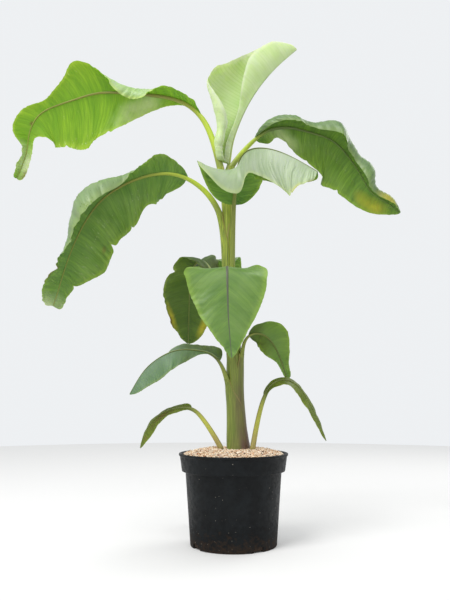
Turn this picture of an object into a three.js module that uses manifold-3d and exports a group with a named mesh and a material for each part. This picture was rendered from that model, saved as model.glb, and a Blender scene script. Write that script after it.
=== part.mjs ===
// A young potted banana plant: a nursery pot filled with potting mix under a layer of wood chips, a
// pseudostem that leans a little as it rises, and twelve leaves. Each leaf is a petiole that runs on
// as a midrib, with a thin half blade on each side of it. Millimetres, +Z up. The origin is the
// middle of the pot's flat underside, and -Y is the plant's front.

import * as THREE from 'three';
import { mergeVertices } from 'three/addons/utils/BufferGeometryUtils.js';
import Module from 'manifold-3d';

// ---- driving dimensions -------------------------------------------------------------------------

const GAP = 0.35;                 // clearance between pieces that touch
const GROUND = 260;               // top of the wood chips at the stem

const POT = {
  foot: 120,                      // outer radius at the underside
  shoulder: 135,                  // outer radius just under the rim band
  band: 145,                      // outer radius of the band's lower edge
  rim: 154,                       // outer radius of the rolled rim
  height: 250,                    // from the underside to the top of the rim
  bandHeight: 50,                 // height of the band under the rim
  wall: 2.5,
  sides: 40,
};
const DRAIN = { count: 4, width: 32, height: 9, depth: 8, bearing: -57 };
const CHIPS = { depth: 26, flatRadius: 60, edgeDrop: 14 };

const STEM = {
  heights: [260, 275, 310, 390, 440, 511, 650, 799, 942, 1010, 1080],
  centres: [14.5, 13, 10, 6.5, 5, 3.5, -5, -15, -15.5, -17, -20],
  radii: [34.5, 32.5, 28, 24, 22.5, 20.5, 19, 17, 16, 19, 26],
  sides: 14,
  ridge: 0.05,                    // how far the sheath edges stand proud, as a share of the radius
};

const BLADE_THICKNESS = 1.6;
const BLADE_ENDS = [0.015, 0.975];  // where the half blades start and end, as shares of the blade
const RIB_CLEARANCE = 1.3;        // from the midrib to a half blade's inner edge
const COLUMNS = 3;                // facets across each half blade
const STATION = 56;               // longest facet along a leaf
const SPLIT_GAP = 0.8;            // slit where a blade is parted at its bend

// A leaf starts at root, or else against the stem at a height and on a compass bearing. Its midrib
// line is stalk + blade long, and climbs at the angles in rise and heads along the angles in turn, in
// degrees (0 along +X, 90 along +Y), at equal steps from root to tip. half is the widest half blade,
// rib the petiole's radius at the root and at the blade, and parts the number of lengths of blade.
// base and tip say how bluntly the blade's ends round off, and sweep leans its veins forward.
// On each side of the rib, lift is the angle at which the half blade leaves it, curl the angle it
// turns through on its way to the margin, and width its share of half, at equal steps along the blade.
// wave is the height, count, phase and scallop of the margin's waves, and power holds the curl back
// to the margin.
const LEAVES = [
  { name: 'upper_left', root: [-35, -4, 1084], stalk: 183, blade: 773, half: 145, rib: [13, 9], parts: 2,
    rise: [77, 74, 67, 50, 28, 14, 8, 8, 1, -14, -15, -24, -62, -86, -74, -67],
    turn: [175, 175, 174, 173, 172, 172, 172, 172, 175, 180, 180],
    base: 0.62, tip: 0.6, sweep: [0.3],
    left: { lift: [30, 25, 25, 28, 32, 42, 55, 62, 62, 60, 60, 60, 50, 40, 40, 40],
      curl: [-20, -30, -60, -120, -150, -110, -40, -20, -10, -10, -10, -10, -10, -20, -20, -20],
      width: [0.6, 0.7, 0.85, 0.75, 0.6, 0.6, 0.55, 0.74, 0.6, 0.42, 0.25, 0.4, 0.45, 0.22, 0.25, 0.5] },
    right: { lift: [-10, -50, -60, -60, -60, -60, -60, -60], curl: [-20, -20, -20, -15, -15, -20],
      width: [0.03, 0.04, 0.2, 0.4, 0.62, 0.86, 1, 1.12, 1.14, 1, 0.93, 0.8, 0.22, 0.18, 0.28, 0.5] } },
  { name: 'spear', root: [-16, 10, 1083], stalk: 55, blade: 405, half: 190, rib: [8, 5], parts: 1,
    rise: [80, 82, 72, 67, 61, 55, 49, 43, 40], turn: [0], roll: [90],
    base: 0.3, tip: 0.8, sweep: [0],
    left: { lift: [20, 20, 20, 10, 0, 0, 0, 0, 0, 0, 0],
      curl: [300, 290, 230, 130, 110, 100, 60, 30, 0, 0, 0], power: 2.5,
      width: [0.9, 0.72, 0.9, 0.94, 1.06, 0.87, 0.74, 0.67, 0.68, 0.8, 0.8] },
    right: { lift: [95, 95, 95, 95, 95, 100, 110, 120, 130, 130, 130],
      curl: [75, 75, 75, 75, 75, 70, 65, 60, 50, 50, 50],
      width: [0.2, 0.14, 0.1, 0.12, 0.22, 0.38, 0.48, 0.62, 0.65, 0.72, 0.7] } },
  { name: 'upper_right', root: [-7, -8, 1087], stalk: 120, blade: 562, half: 125, rib: [10, 7], parts: 2,
    rise: [58, 50, 40, 8, -14, -20, -48, -58, -62, -32, -48], turn: [10, 8, 6, 4, 2, 0, 0, 0, 0, 0, 0],
    base: 0.62, tip: 1, sweep: [0.35],
    left: { lift: [-40, -60, -60, -60, -60, -55, -50, -45, -40, -40, -30], curl: [-20, -20, -10, -10, -10, -20],
      width: [1.2, 0.36, 0.71, 0.79, 0.98, 1.1, 0.96, 0.91, 0.85, 0.85, 0.85] },
    right: { lift: [50, 60, 60, 60, 62, 60, 60, 60, 55, 50, 50],
      curl: [-120, -140, -140, -140, -140, -100, -90, -90, -90, -90, -90],
      width: [1.2, 1.18, 0.95, 0.62, 1.15, 0.6, 0.5, 0.88, 0.5, 0.9, 1] } },
  { name: 'front_right', height: 785, bearing: -63, stalk: 175, blade: 420, half: 120, rib: [8, 6], parts: 2,
    rise: [82, 80, 78, 76, 66, 40, 2, -18, -30, -36, -38], turn: [-85, -82, -77, -70, -38, -30, -32],
    base: 0.35, tip: 0.4, sweep: [0.1, 0.15, 0.25, -0.3, 0, 0.4, 0.8, 0.85, 0.7, 0.5, 0.5],
    left: { lift: [30, 30, 20, -20, -60, -70, -70, -65, -60, -55, -50], curl: [-20, -30, -30, -20, -20],
      width: [0.8, 0.95, 0.85, 0.6, 0.7, 0.8, 0.8, 0.7, 0.6, 0.5, 0.4] },
    right: { lift: [30, 25, 15, -64, -75, -74, -70, -68, -60, -55, -50], curl: [-10, -20, -20, -20, -20],
      width: [0.9, 0.95, 1.12, 1.02, 0.6, 0.72, 0.88, 0.92, 0.98, 0.75, 0.6] } },
  { name: 'left', height: 945, bearing: -160, stalk: 143, blade: 612, half: 130, rib: [10, 7], parts: 2,
    rise: [68, 44, 20, -9, -25, -38, -56, -66, -72, -76, -74], turn: [195, 193, 190, 190, 190, 190, 190],
    base: 0.45, tip: 0.35, sweep: [0.25],
    left: { lift: [40, 60, 55, 58, 60, 60, 60, 55, 50, 45, 40],
      curl: [-10, -10, -60, -140, -140, -130, -120, -100, -40, -20, -10],
      width: [0.35, 0.6, 0.45, 0.66, 1.2, 1.5, 1, 0.6, 0.4, 0.68, 0.7] },
    right: { lift: [-30, -60, -70, -70, -60, -50, -30], curl: [-20, -20, -10, -10, -10, -20],
      width: [1.3, 1, 0.74, 0.97, 0.98, 0.9, 0.95, 1, 0.74, 0.47, 0.5], wave: [10, 3.6, 0.05, 0] } },
  { name: 'front', height: 560, bearing: -121, stalk: 165, blade: 355, half: 114, rib: [7, 5.5], parts: 1,
    rise: [84, 80, 74, 60, 10, -68, -84, -82, -80, -80], turn: [-98, -95, -92, -90, -80, -65, -62],
    base: 0.22, tip: 1, sweep: [0.45],
    left: { lift: [-16, -8, 0, 5, 10, 10], curl: [0, 0, -10, 0],
      width: [0.4, 0.55, 0.98, 0.97, 0.91, 0.84, 0.77, 0.68, 0.6, 0.52, 0.45] },
    right: { lift: [-16, -8, 0, 5, 10, 10], curl: [0, 0, -10, 0],
      width: [0.4, 0.55, 1.04, 1, 0.92, 0.84, 0.79, 0.73, 0.66, 0.56, 0.5] } },
  { name: 'back_left', height: 650, bearing: 150, stalk: 150, blade: 350, half: 90, rib: [7, 5], parts: 1,
    rise: [78, 70, 58, 35, -40, -85, -88, -88, -88], turn: [134, 130, 128, 128],
    base: 0.62, tip: 1, sweep: [0.35],
    left: { lift: [30, 35, 10, 8, 0], curl: [-60, -40, -20, -20],
      width: [0.6, 0.62, 0.68, 0.74, 1.08, 1.34, 1.32, 1.22, 1.15, 1.05, 1], wave: [10, 2, 0.6, 0] },
    right: { lift: [40, 40, 20, 0, 0], curl: [-20, -20, -20], width: [0.45, 0.7, 1.1, 1.35] } },
  { name: 'low_left', height: 455, bearing: -140, stalk: 56, blade: 318, half: 78, rib: [8, 5.5], parts: 1,
    rise: [76, 56, 14, 0, -24, -40, -58, -62], turn: [190, 190, 192, 194],
    base: 0.4, tip: 1, sweep: [0.35],
    left: { lift: [20, -20, -50, -60, -60, -60, -60, -60, -55, -50, -50], curl: [-15],
      width: [0.2, 0.12, 0.25, 0.55, 0.7, 0.75, 0.84, 0.88, 0.85, 0.9, 0.9] },
    right: { lift: [65, 55, 45, 33, 12, -10, -30, -45, -45, -45, -45], curl: [-20],
      width: [1.1, 0.55, 0.4, 0.6, 0.8, 0.8, 0.8, 0.8, 0.8, 0.8, 0.8] } },
  { name: 'low_right', height: 528, bearing: -38, stalk: 58, blade: 203, half: 70, rib: [7, 4.5], parts: 1,
    rise: [84, 70, 26, -14, -42, -56, -63, -68, -74], turn: [0, 20, 35, 35],
    base: 0.25, tip: 1, sweep: [0.35],
    left: { lift: [-40, -45, -50, -40], curl: [-10],
      width: [1, 0.85, 0.75, 0.67, 0.6, 0.53, 0.4, 0.27, 0.24, 0.25, 0.3] },
    right: { lift: [60, 60, 60, 60, 50], curl: [-40],
      width: [0.6, 0.7, 0.88, 0.9, 0.75, 0.62, 0.55, 0.45, 0.4, 0.6, 1] } },
  { name: 'base_left', root: [-36, -8, 266], stalk: 138, blade: 205, half: 40, rib: [9, 6.5], parts: 1,
    rise: [62, 58, 54, 44, 4, -12, -32, -54, -68, -78], turn: [175, 178, 180, 182],
    base: 0.4, tip: 1, sweep: [0.35],
    left: { lift: [-20, -40, -50, -40], curl: [-20], width: [0.4, 0.5, 0.8, 0.8] },
    right: { lift: [60, 30, 30, 30], curl: [-20], width: [0.6, 0.3, 0.35, 0.3] } },
  { name: 'base_right', root: [52, -27, 263], stalk: 153, blade: 290, half: 42, rib: [9, 7], parts: 1,
    rise: [80, 79, 77, 73, 62, 30, -18, -50, -62, -65, -69, -69], turn: [5, 2, 0, 0],
    base: 0.4, tip: 1, sweep: [0.35],
    left: { lift: [60, 35, 35, 35], curl: [-20], width: [0.3, 0.3, 0.4, 0.4] },
    right: { lift: [-10, -30, -30, -30], curl: [-20], width: [0.7, 0.7, 0.7, 0.7] } },
  { name: 'back', height: 625, bearing: 96, stalk: 190, blade: 330, half: 46, rib: [7, 5], parts: 1,
    rise: [86, 82, 76, 62, 15, -60, -80, -84, -84, -84], turn: [88, 90, 91, 91],
    base: 0.4, tip: 1, sweep: [0.35],
    left: { lift: [5, 0, 0, 0], curl: [-20, -20, -20], width: [1.5, 1.7, 1.5, 1.2] },
    right: { lift: [25, 15, 0, 0], curl: [-20, -20, -20], width: [0.8, 0.85, 1, 1] } },
];

// ---- finishes -----------------------------------------------------------------------------------

const finish = (color, roughness) => new THREE.MeshStandardMaterial({ color, roughness, metalness: 0 });
const FINISH = {
  pot: finish(0x1d1d20, 0.6),
  soil: finish(0x3b2c20, 0.95),
  chips: finish(0xc7a880, 0.9),
  stem: finish(0x7f8a3c, 0.55),
  petiole: finish(0x9aa83a, 0.5),
  blade: finish(0x4f7d33, 0.5),
};

// ---- curves through equally spaced values -------------------------------------------------------

// The smooth curve (Catmull-Rom) through equally spaced values, at share t of its length.
function along(values, t) {
  if (values.length === 1) return values[0];
  const last = values.length - 1;
  const place = THREE.MathUtils.clamp(t, 0, 1) * last;
  const i = Math.min(Math.floor(place), last - 1);
  const f = place - i;
  const b = values[i];
  const c = values[i + 1];
  const a = i > 0 ? values[i - 1] : 2 * b - c;
  const d = i + 2 <= last ? values[i + 2] : 2 * c - b;
  return b + 0.5 * f * (c - a + f * (2 * a - 5 * b + 4 * c - d + f * (3 * (b - c) + d - a)));
}

// ---- leaf shape ---------------------------------------------------------------------------------

const AXIS_STEPS = 120;

// The value at a height on the stem, on straight lines through the values at STEM.heights.
function onStem(values, height) {
  const i = Math.max(STEM.heights.findIndex((z) => z >= height), 1);
  const [low, high] = [STEM.heights[i - 1], STEM.heights[i]];
  return THREE.MathUtils.lerp(values[i - 1], values[i], (height - low) / (high - low));
}

// Where the leaf's midrib line starts: at its own root, or just clear of the stem's side.
function rootOf(leaf) {
  if (leaf.root) return new THREE.Vector3(...leaf.root);
  const reach = onStem(STEM.radii, leaf.height) + leaf.rib[0] + GAP;
  const bearing = THREE.MathUtils.degToRad(leaf.bearing);
  const centre = onStem(STEM.centres, leaf.height);
  return new THREE.Vector3(centre + reach * Math.cos(bearing), reach * Math.sin(bearing), leaf.height);
}

// The leaf's midrib line, as points at equal steps, found by walking along its angles.
function midribLine(leaf) {
  const length = leaf.stalk + leaf.blade;
  const points = [rootOf(leaf)];
  for (let i = 0; i < AXIS_STEPS; i++) {
    const { T } = directions(leaf, (i + 0.5) / AXIS_STEPS);
    points.push(points[i].clone().addScaledVector(T, length / AXIS_STEPS));
  }
  return points;
}

// The midrib's direction T at share s of its length, the blade's leftward direction L, and N = T x L.
function directions(leaf, s) {
  const e = THREE.MathUtils.degToRad(along(leaf.rise, s));
  const a = THREE.MathUtils.degToRad(along(leaf.turn, s));
  const T = new THREE.Vector3(Math.cos(e) * Math.cos(a), Math.cos(e) * Math.sin(a), Math.sin(e));
  const L = new THREE.Vector3(-Math.sin(a), Math.cos(a), 0);
  const roll = THREE.MathUtils.degToRad(along(leaf.roll ?? [0], s));
  L.applyAxisAngle(T, roll);
  return { T, L, N: new THREE.Vector3().crossVectors(T, L) };
}

// The midrib's point at a distance from the root, with its directions.
function station(leaf, distance) {
  const s = distance / (leaf.stalk + leaf.blade);
  const q = Math.min(s * AXIS_STEPS, AXIS_STEPS - 1e-6);
  const i = Math.floor(q);
  return { point: leaf.line[i].clone().lerp(leaf.line[i + 1], q - i), ...directions(leaf, s) };
}

// The rib's radius at a distance from the root: the petiole's, then thinning out to the tip.
function ribRadius(leaf, distance) {
  const [root, blade] = leaf.rib;
  if (distance <= leaf.stalk) return THREE.MathUtils.lerp(root, blade, distance / leaf.stalk);
  return THREE.MathUtils.lerp(blade, 1.4, (distance - leaf.stalk) / leaf.blade);
}

// A half blade's width at share u of the blade's length, as a share of its widest.
function outline(leaf, u) {
  return (1 - (1 - u) ** 5) ** leaf.base * (1 - u ** 3) ** (0.75 * leaf.tip);
}

// One station across a half blade: points from the rib to the margin, each with its own normal.
function acrossBlade(leaf, side, u) {
  const half = side > 0 ? leaf.left : leaf.right;
  const distance = leaf.stalk + u * leaf.blade;
  const { point, T, L, N } = station(leaf, distance);
  const lift = THREE.MathUtils.degToRad(along(half.lift, u));
  const curl = THREE.MathUtils.degToRad(along(half.curl, u));
  const [height, count, phase, scallop] = half.wave ?? [0, 0, 0, 0];
  const swing = Math.sin(2 * Math.PI * (count * u + phase));
  const full = outline(leaf, u);
  const width = Math.max(leaf.half * full * along(half.width ?? [1], u) * (1 + scallop * swing), 5);
  const start = ribRadius(leaf, distance) + RIB_CLEARANCE;
  const points = [];
  for (let j = 0; j <= COLUMNS; j++) {
    const v = j / COLUMNS;
    const slope = lift + curl * Math.max(v - 0.5 / COLUMNS, 0) ** (half.power ?? 1);
    const outward = L.clone().multiplyScalar(side * Math.cos(slope)).addScaledVector(N, Math.sin(slope));
    const normal = L.clone().multiplyScalar(-side * Math.sin(slope)).addScaledVector(N, Math.cos(slope));
    if (j === 0) point.addScaledVector(outward, start);
    else {
      const before = (j - 1) / COLUMNS;
      point.addScaledVector(outward, width / COLUMNS);
      point.addScaledVector(T, width * along(leaf.sweep, u) * (v ** 1.6 - before ** 1.6));
    }
    const ripple = height * swing * v * v * Math.min(1, full * 1.2);
    points.push({ middle: point.clone().addScaledVector(normal, ripple), normal });
  }
  return points;
}

// ---- closed solids ------------------------------------------------------------------------------

// A closed mesh from a list of points and a list of faces, each a ring of point numbers that runs
// anticlockwise as seen from outside.
function solidOf(points, faces) {
  const index = [];
  for (const face of faces) {
    for (let k = 2; k < face.length; k++) index.push(face[0], face[k - 1], face[k]);
  }
  const geometry = new THREE.BufferGeometry();
  geometry.setAttribute('position', new THREE.Float32BufferAttribute(points.flatMap((p) => p.toArray()), 3));
  geometry.setIndex(index);
  geometry.computeVertexNormals();
  return geometry;
}

// Rings of equal count joined one to the next. Both ends are closed by the faces that cap gives for
// a ring of n points. The two halves of a ring are parted along opposite diagonals, so that a twisted
// plate's two skins are parted alike and stay one thickness apart.
function loft(rings, cap) {
  const n = rings[0].length;
  const faces = [];
  for (let i = 0; i + 1 < rings.length; i++) {
    for (let k = 0; k < n; k++) {
      const next = (k + 1) % n;
      const face = [i * n + k, i * n + next, (i + 1) * n + next, (i + 1) * n + k];
      faces.push(k < n / 2 ? face : [...face.slice(1), face[0]]);
    }
  }
  const end = (rings.length - 1) * n;
  for (const face of cap(n)) faces.push([...face].reverse(), face.map((k) => end + k));
  return solidOf(rings.flat(), faces);
}

// A round ring is closed by one face.
const roundCap = (n) => [[...Array(n).keys()]];

// A flat ring, there along one skin and back along the other, is closed by strips between its skins.
const plateCap = (n) => [...Array(n / 2 - 1).keys()].map((k) => [k, k + 1, n - 2 - k, n - 1 - k]);

// The shares of the blade's length at which one of its parts has a station.
function bladeShares(leaf, part) {
  const slit = SPLIT_GAP / 2 / leaf.blade;
  const from = part === 0 ? BLADE_ENDS[0] : part / leaf.parts + slit;
  const to = part === leaf.parts - 1 ? BLADE_ENDS[1] : (part + 1) / leaf.parts - slit;
  const steps = Math.max(3, Math.round(((to - from) * leaf.blade) / STATION));
  return [...Array(steps + 1).keys()].map((i) => THREE.MathUtils.lerp(from, to, i / steps));
}

// One part of a half blade, as a thin plate with a rim.
function bladeSolid(leaf, side, part) {
  const rings = bladeShares(leaf, part).map((share) => {
    const row = acrossBlade(leaf, side, share);
    const skin = (depth) => row.map(({ middle, normal }) => middle.clone().addScaledVector(normal, depth));
    const ring = [...skin(-BLADE_THICKNESS / 2), ...skin(BLADE_THICKNESS / 2).reverse()];
    return side > 0 ? ring : ring.reverse();
  });
  return loft(rings, plateCap);
}

// A length of petiole or midrib, with a ring at each of the given distances from the root.
function ribSolid(leaf, distances, sides) {
  const rings = distances.map((distance) => {
    const { point, L, N } = station(leaf, distance);
    const radius = ribRadius(leaf, distance);
    return [...Array(sides).keys()].map((k) => {
      const angle = (2 * Math.PI * k) / sides;
      return point.clone()
        .addScaledVector(L, radius * Math.cos(angle))
        .addScaledVector(N, radius * Math.sin(angle));
    });
  });
  return loft(rings, roundCap);
}

// The petiole's distances from the root, in equal steps.
function petioleDistances(leaf) {
  const steps = Math.max(2, Math.round(leaf.stalk / STATION));
  return [...Array(steps + 1).keys()].map((i) => (i / steps) * (leaf.stalk - GAP / 2));
}

// The midrib's distances from the root: its foot, then the stations of the blade beside it.
function midribDistances(leaf) {
  const shares = [...Array(leaf.parts).keys()].flatMap((part) => bladeShares(leaf, part));
  return [leaf.stalk + GAP / 2, ...shares.map((share) => leaf.stalk + share * leaf.blade)];
}

// The pseudostem: leaning rings whose outline is ridged by the edges of the leaf sheaths.
function stemSolid() {
  const last = STEM.heights.length - 1;
  const rings = STEM.heights.map((height, i) => {
    const z = i === 0 ? height + GAP : height;
    const ring = [];
    for (let k = 0; k < STEM.sides; k++) {
      const angle = (2 * Math.PI * k) / STEM.sides;
      const ridged = 1 - STEM.ridge * (k % 2) * (1 - i / last);
      ring.push(new THREE.Vector3(
        STEM.centres[i] + STEM.radii[i] * ridged * Math.cos(angle),
        STEM.radii[i] * ridged * Math.sin(angle),
        z,
      ));
    }
    return ring;
  });
  return loft(rings, roundCap);
}

// A turned solid about the Z axis from [radius, height] pairs that run outside first, bottom to top.
function turned(profile, sides) {
  const points = profile.map(([r, z]) => new THREE.Vector2(r, z));
  const geometry = new THREE.LatheGeometry(points, sides);
  geometry.rotateX(Math.PI / 2);
  return closed(geometry);
}

// The geometry with its shared points merged and its collapsed triangles left out.
function closed(geometry) {
  geometry.deleteAttribute('uv');
  geometry.deleteAttribute('normal');
  const merged = mergeVertices(geometry, 1e-4);
  const index = [...merged.index.array];
  const kept = [];
  for (let i = 0; i < index.length; i += 3) {
    const [a, b, c] = index.slice(i, i + 3);
    if (a !== b && b !== c && c !== a) kept.push(a, b, c);
  }
  merged.setIndex(kept);
  merged.computeVertexNormals();
  return merged;
}

// ---- pot ----------------------------------------------------------------------------------------

const wasm = await Module();
wasm.setup();

function toManifold(geometry) {
  return new wasm.Manifold(new wasm.Mesh({
    numProp: 3,
    vertProperties: Float32Array.from(geometry.attributes.position.array),
    triVerts: Uint32Array.from(geometry.index.array),
  }));
}

function fromManifold(manifold) {
  const mesh = manifold.getMesh();
  const geometry = new THREE.BufferGeometry();
  geometry.setAttribute('position', new THREE.BufferAttribute(mesh.vertProperties, 3));
  geometry.setIndex(new THREE.BufferAttribute(mesh.triVerts, 1));
  geometry.computeVertexNormals();
  return geometry;
}

// The inner radius of the pot's wall at a height above the underside.
function potInside(z) {
  const top = POT.height - POT.bandHeight;
  if (z <= top) return THREE.MathUtils.lerp(POT.foot, POT.shoulder, z / top) - POT.wall;
  return THREE.MathUtils.lerp(POT.shoulder, POT.band, (z - top) / POT.bandHeight) - POT.wall;
}

// The pot: a tapered shell with a floor, a stepped band and a lip, open at the top, with drain slots
// round its foot.
function potSolid() {
  const bandBottom = POT.height - POT.bandHeight;
  const floor = 4;
  const shell = turned([
    [0, 0], [POT.foot - 2, 0], [POT.foot, 2], [POT.shoulder, bandBottom], [POT.band, bandBottom + 1],
    [POT.rim - 3, POT.height - 8], [POT.rim, POT.height - 6], [POT.rim, POT.height - 1.5],
    [POT.rim - 1.5, POT.height], [potInside(POT.height), POT.height], [potInside(bandBottom), bandBottom],
    [potInside(floor), floor], [0, floor],
  ], POT.sides);
  let pot = toManifold(shell);
  for (let i = 0; i < DRAIN.count; i++) {
    const slot = new THREE.BoxGeometry(DRAIN.depth, DRAIN.width, DRAIN.height);
    slot.translate(POT.foot - DRAIN.depth / 4, 0, DRAIN.height / 2 - 0.5);
    slot.rotateZ(THREE.MathUtils.degToRad(DRAIN.bearing) + (2 * Math.PI * i) / DRAIN.count);
    pot = pot.subtract(toManifold(closed(slot)));
  }
  return fromManifold(pot);
}

// The potting mix, from the pot's floor to the underside of the chips.
function soilSolid() {
  const bottom = 4 + GAP;
  const bandBottom = POT.height - POT.bandHeight;
  const top = GROUND - CHIPS.depth - GAP;
  return turned([
    [0, bottom], [potInside(bottom) - 2 * GAP, bottom], [potInside(bandBottom) - 2 * GAP, bandBottom],
    [potInside(top) - 2 * GAP, top], [0, top],
  ], POT.sides);
}

// The wood chips: flat round the stem and a little lower at the rim.
function chipsSolid() {
  const bottom = GROUND - CHIPS.depth;
  const edge = GROUND - CHIPS.edgeDrop;
  return turned([
    [0, bottom], [potInside(bottom) - 2 * GAP, bottom], [potInside(edge) - 2 * GAP, edge],
    [CHIPS.flatRadius, GROUND], [0, GROUND],
  ], POT.sides);
}

// ---- assembly -----------------------------------------------------------------------------------

const plant = new THREE.Group();

function addNode(name, geometry, material) {
  const mesh = new THREE.Mesh(geometry, material);
  mesh.name = name;
  plant.add(mesh);
}

// A leaf's nodes: its petiole, its midrib, and its half blades in one or two parts.
function addLeaf(leaf) {
  leaf.line = midribLine(leaf);
  addNode(`${leaf.name}_petiole`, ribSolid(leaf, petioleDistances(leaf), 8), FINISH.petiole);
  addNode(`${leaf.name}_midrib`, ribSolid(leaf, midribDistances(leaf), 6), FINISH.petiole);
  for (const [side, sideName] of [[1, 'left'], [-1, 'right']]) {
    for (let part = 0; part < leaf.parts; part++) {
      const place = leaf.parts === 1 ? '' : ['_inner', '_outer'][part];
      addNode(`${leaf.name}_blade_${sideName}${place}`, bladeSolid(leaf, side, part), FINISH.blade);
    }
  }
}

addNode('pot', potSolid(), FINISH.pot);
addNode('potting_mix', soilSolid(), FINISH.soil);
addNode('wood_chips', chipsSolid(), FINISH.chips);
addNode('pseudostem', stemSolid(), FINISH.stem);
for (const leaf of LEAVES) addLeaf(leaf);

export default plant;
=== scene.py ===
"""Finished surfaces for a young banana plant in a black nursery pot.

Shapes are worked out in millimetres as whole numpy arrays and turned to metres when a mesh is made.
The origin is the middle of the pot's flat underside, +Z is up and -Y is the plant's front.
"""

import logging
import math
from dataclasses import dataclass, field
from enum import Enum
from typing import Any, Optional, Sequence

import bpy
import numpy as np
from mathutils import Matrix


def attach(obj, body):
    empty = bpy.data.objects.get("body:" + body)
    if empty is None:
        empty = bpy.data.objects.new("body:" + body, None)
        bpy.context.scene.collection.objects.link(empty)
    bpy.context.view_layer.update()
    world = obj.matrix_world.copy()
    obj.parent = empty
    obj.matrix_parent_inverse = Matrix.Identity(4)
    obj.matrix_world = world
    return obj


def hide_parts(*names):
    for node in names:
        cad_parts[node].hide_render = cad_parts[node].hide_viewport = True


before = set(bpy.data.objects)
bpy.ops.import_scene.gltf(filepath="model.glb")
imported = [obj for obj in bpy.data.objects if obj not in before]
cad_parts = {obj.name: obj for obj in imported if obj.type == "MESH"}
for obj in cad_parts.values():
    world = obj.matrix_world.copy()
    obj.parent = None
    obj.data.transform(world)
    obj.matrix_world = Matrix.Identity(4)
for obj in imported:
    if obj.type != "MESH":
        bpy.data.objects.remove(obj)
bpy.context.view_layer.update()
LOG = logging.getLogger("banana_plant")

Array = np.ndarray
MM = 0.001
BODY = "root"
GROUND = 260.0          # top of the wood chips at the stem
GAP = 0.35              # clearance from a petiole's foot to the stem


# ---- curves and gentle irregularity ---------------------------------------------------------------


def smooth(values: Sequence[float], share: Array) -> Array:
    """The Catmull-Rom curve through equally spaced values.

    Between values b and c, with a before and d after them and f the share of the way, the curve is
    b + f/2 (c - a + f (2a - 5b + 4c - d + f (3(b - c) + d - a))).

    Args:
        values: the values, equally spaced from share 0 to share 1.
        share: where to read the curve.

    Returns:
        The curve's value at each share.
    """
    keys = np.asarray(values, float)
    if len(keys) == 1:
        return np.full_like(np.asarray(share, float), keys[0])
    place = np.clip(share, 0, 1) * (len(keys) - 1)
    index = np.clip(np.floor(place).astype(int), 0, len(keys) - 2)
    f = place - index
    padded = np.concatenate([[2 * keys[0] - keys[1]], keys, [2 * keys[-1] - keys[-2]]])
    a, b, c, d = (padded[index + k] for k in range(4))
    return b + 0.5 * f * (c - a + f * (2 * a - 5 * b + 4 * c - d + f * (3 * (b - c) + d - a)))


def ease(low: float, high: float, value: Array) -> Array:
    """A smooth step: 0 at low, 1 at high, and 3t^2 - 2t^3 in between, whichever of the two is larger."""
    t = np.clip((value - low) / (high - low), 0, 1)
    return t * t * (3 - 2 * t)


def wander(x: Array, wavelength: float, rng: np.random.Generator, terms: int = 7) -> Array:
    """Gentle irregularity: sine waves of random phase and of 0.55 to 1.9 wavelengths, summed and divided
    by the root of their number.

    Args:
        x: where to read it, in the units of wavelength.
        wavelength: the typical length of a wave.
        rng: the source of the phases and lengths.
        terms: how many waves are summed.

    Returns:
        Values mostly between -1 and 1, as an array shaped like x.
    """
    lengths = wavelength * np.geomspace(0.55, 1.9, terms) * rng.uniform(0.9, 1.1, terms)
    phases = rng.uniform(0, 2 * math.pi, terms)
    waves = np.sin(2 * math.pi * np.asarray(x, float)[..., None] / lengths + phases)
    return waves.sum(-1) / math.sqrt(terms)


def unit(vectors: Array) -> Array:
    """The vectors at length 1."""
    return vectors / np.maximum(np.linalg.norm(vectors, axis=-1, keepdims=True), 1e-9)


def full_turn(count: int) -> Array:
    """Evenly spaced angles round a full turn, in radians."""
    return np.linspace(0, 2 * math.pi, count, endpoint=False)


def points_of(*coordinates: Array) -> Array:
    """Coordinates spread to one shape and stacked along a new last axis."""
    return np.stack(np.broadcast_arrays(*coordinates), -1)


# ---- meshes from grids ----------------------------------------------------------------------------


@dataclass
class Patch:
    """A closed surface: points in millimetres, faces by point number, and values kept at each point."""

    points: Array
    quads: Array
    tris: Array = field(default_factory=lambda: np.zeros((0, 3), int))
    uv: Optional[Array] = None
    values: dict[str, Array] = field(default_factory=dict)
    quad_slots: Optional[Array] = None

    def slots(self) -> Array:
        """The material slot of each face, quads first."""
        quads = self.quad_slots if self.quad_slots is not None else np.zeros(len(self.quads), int)
        return np.concatenate([quads, np.zeros(len(self.tris), int)])


def grid_quads(rows: int, columns: int, closed: bool = False) -> Array:
    """The quads of a grid of points numbered along each row, facing rows x columns.

    Args:
        rows: how many rows of points.
        columns: how many points in a row.
        closed: whether the last column joins the first.

    Returns:
        An array of four point numbers for each quad.
    """
    number = np.arange(rows * columns).reshape(rows, columns)
    after = np.roll(number, -1, axis=1) if closed else number[:, 1:]
    here = number if closed else number[:, :-1]
    return np.stack([here[:-1], here[1:], after[1:], after[:-1]], -1).reshape(-1, 4)


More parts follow.
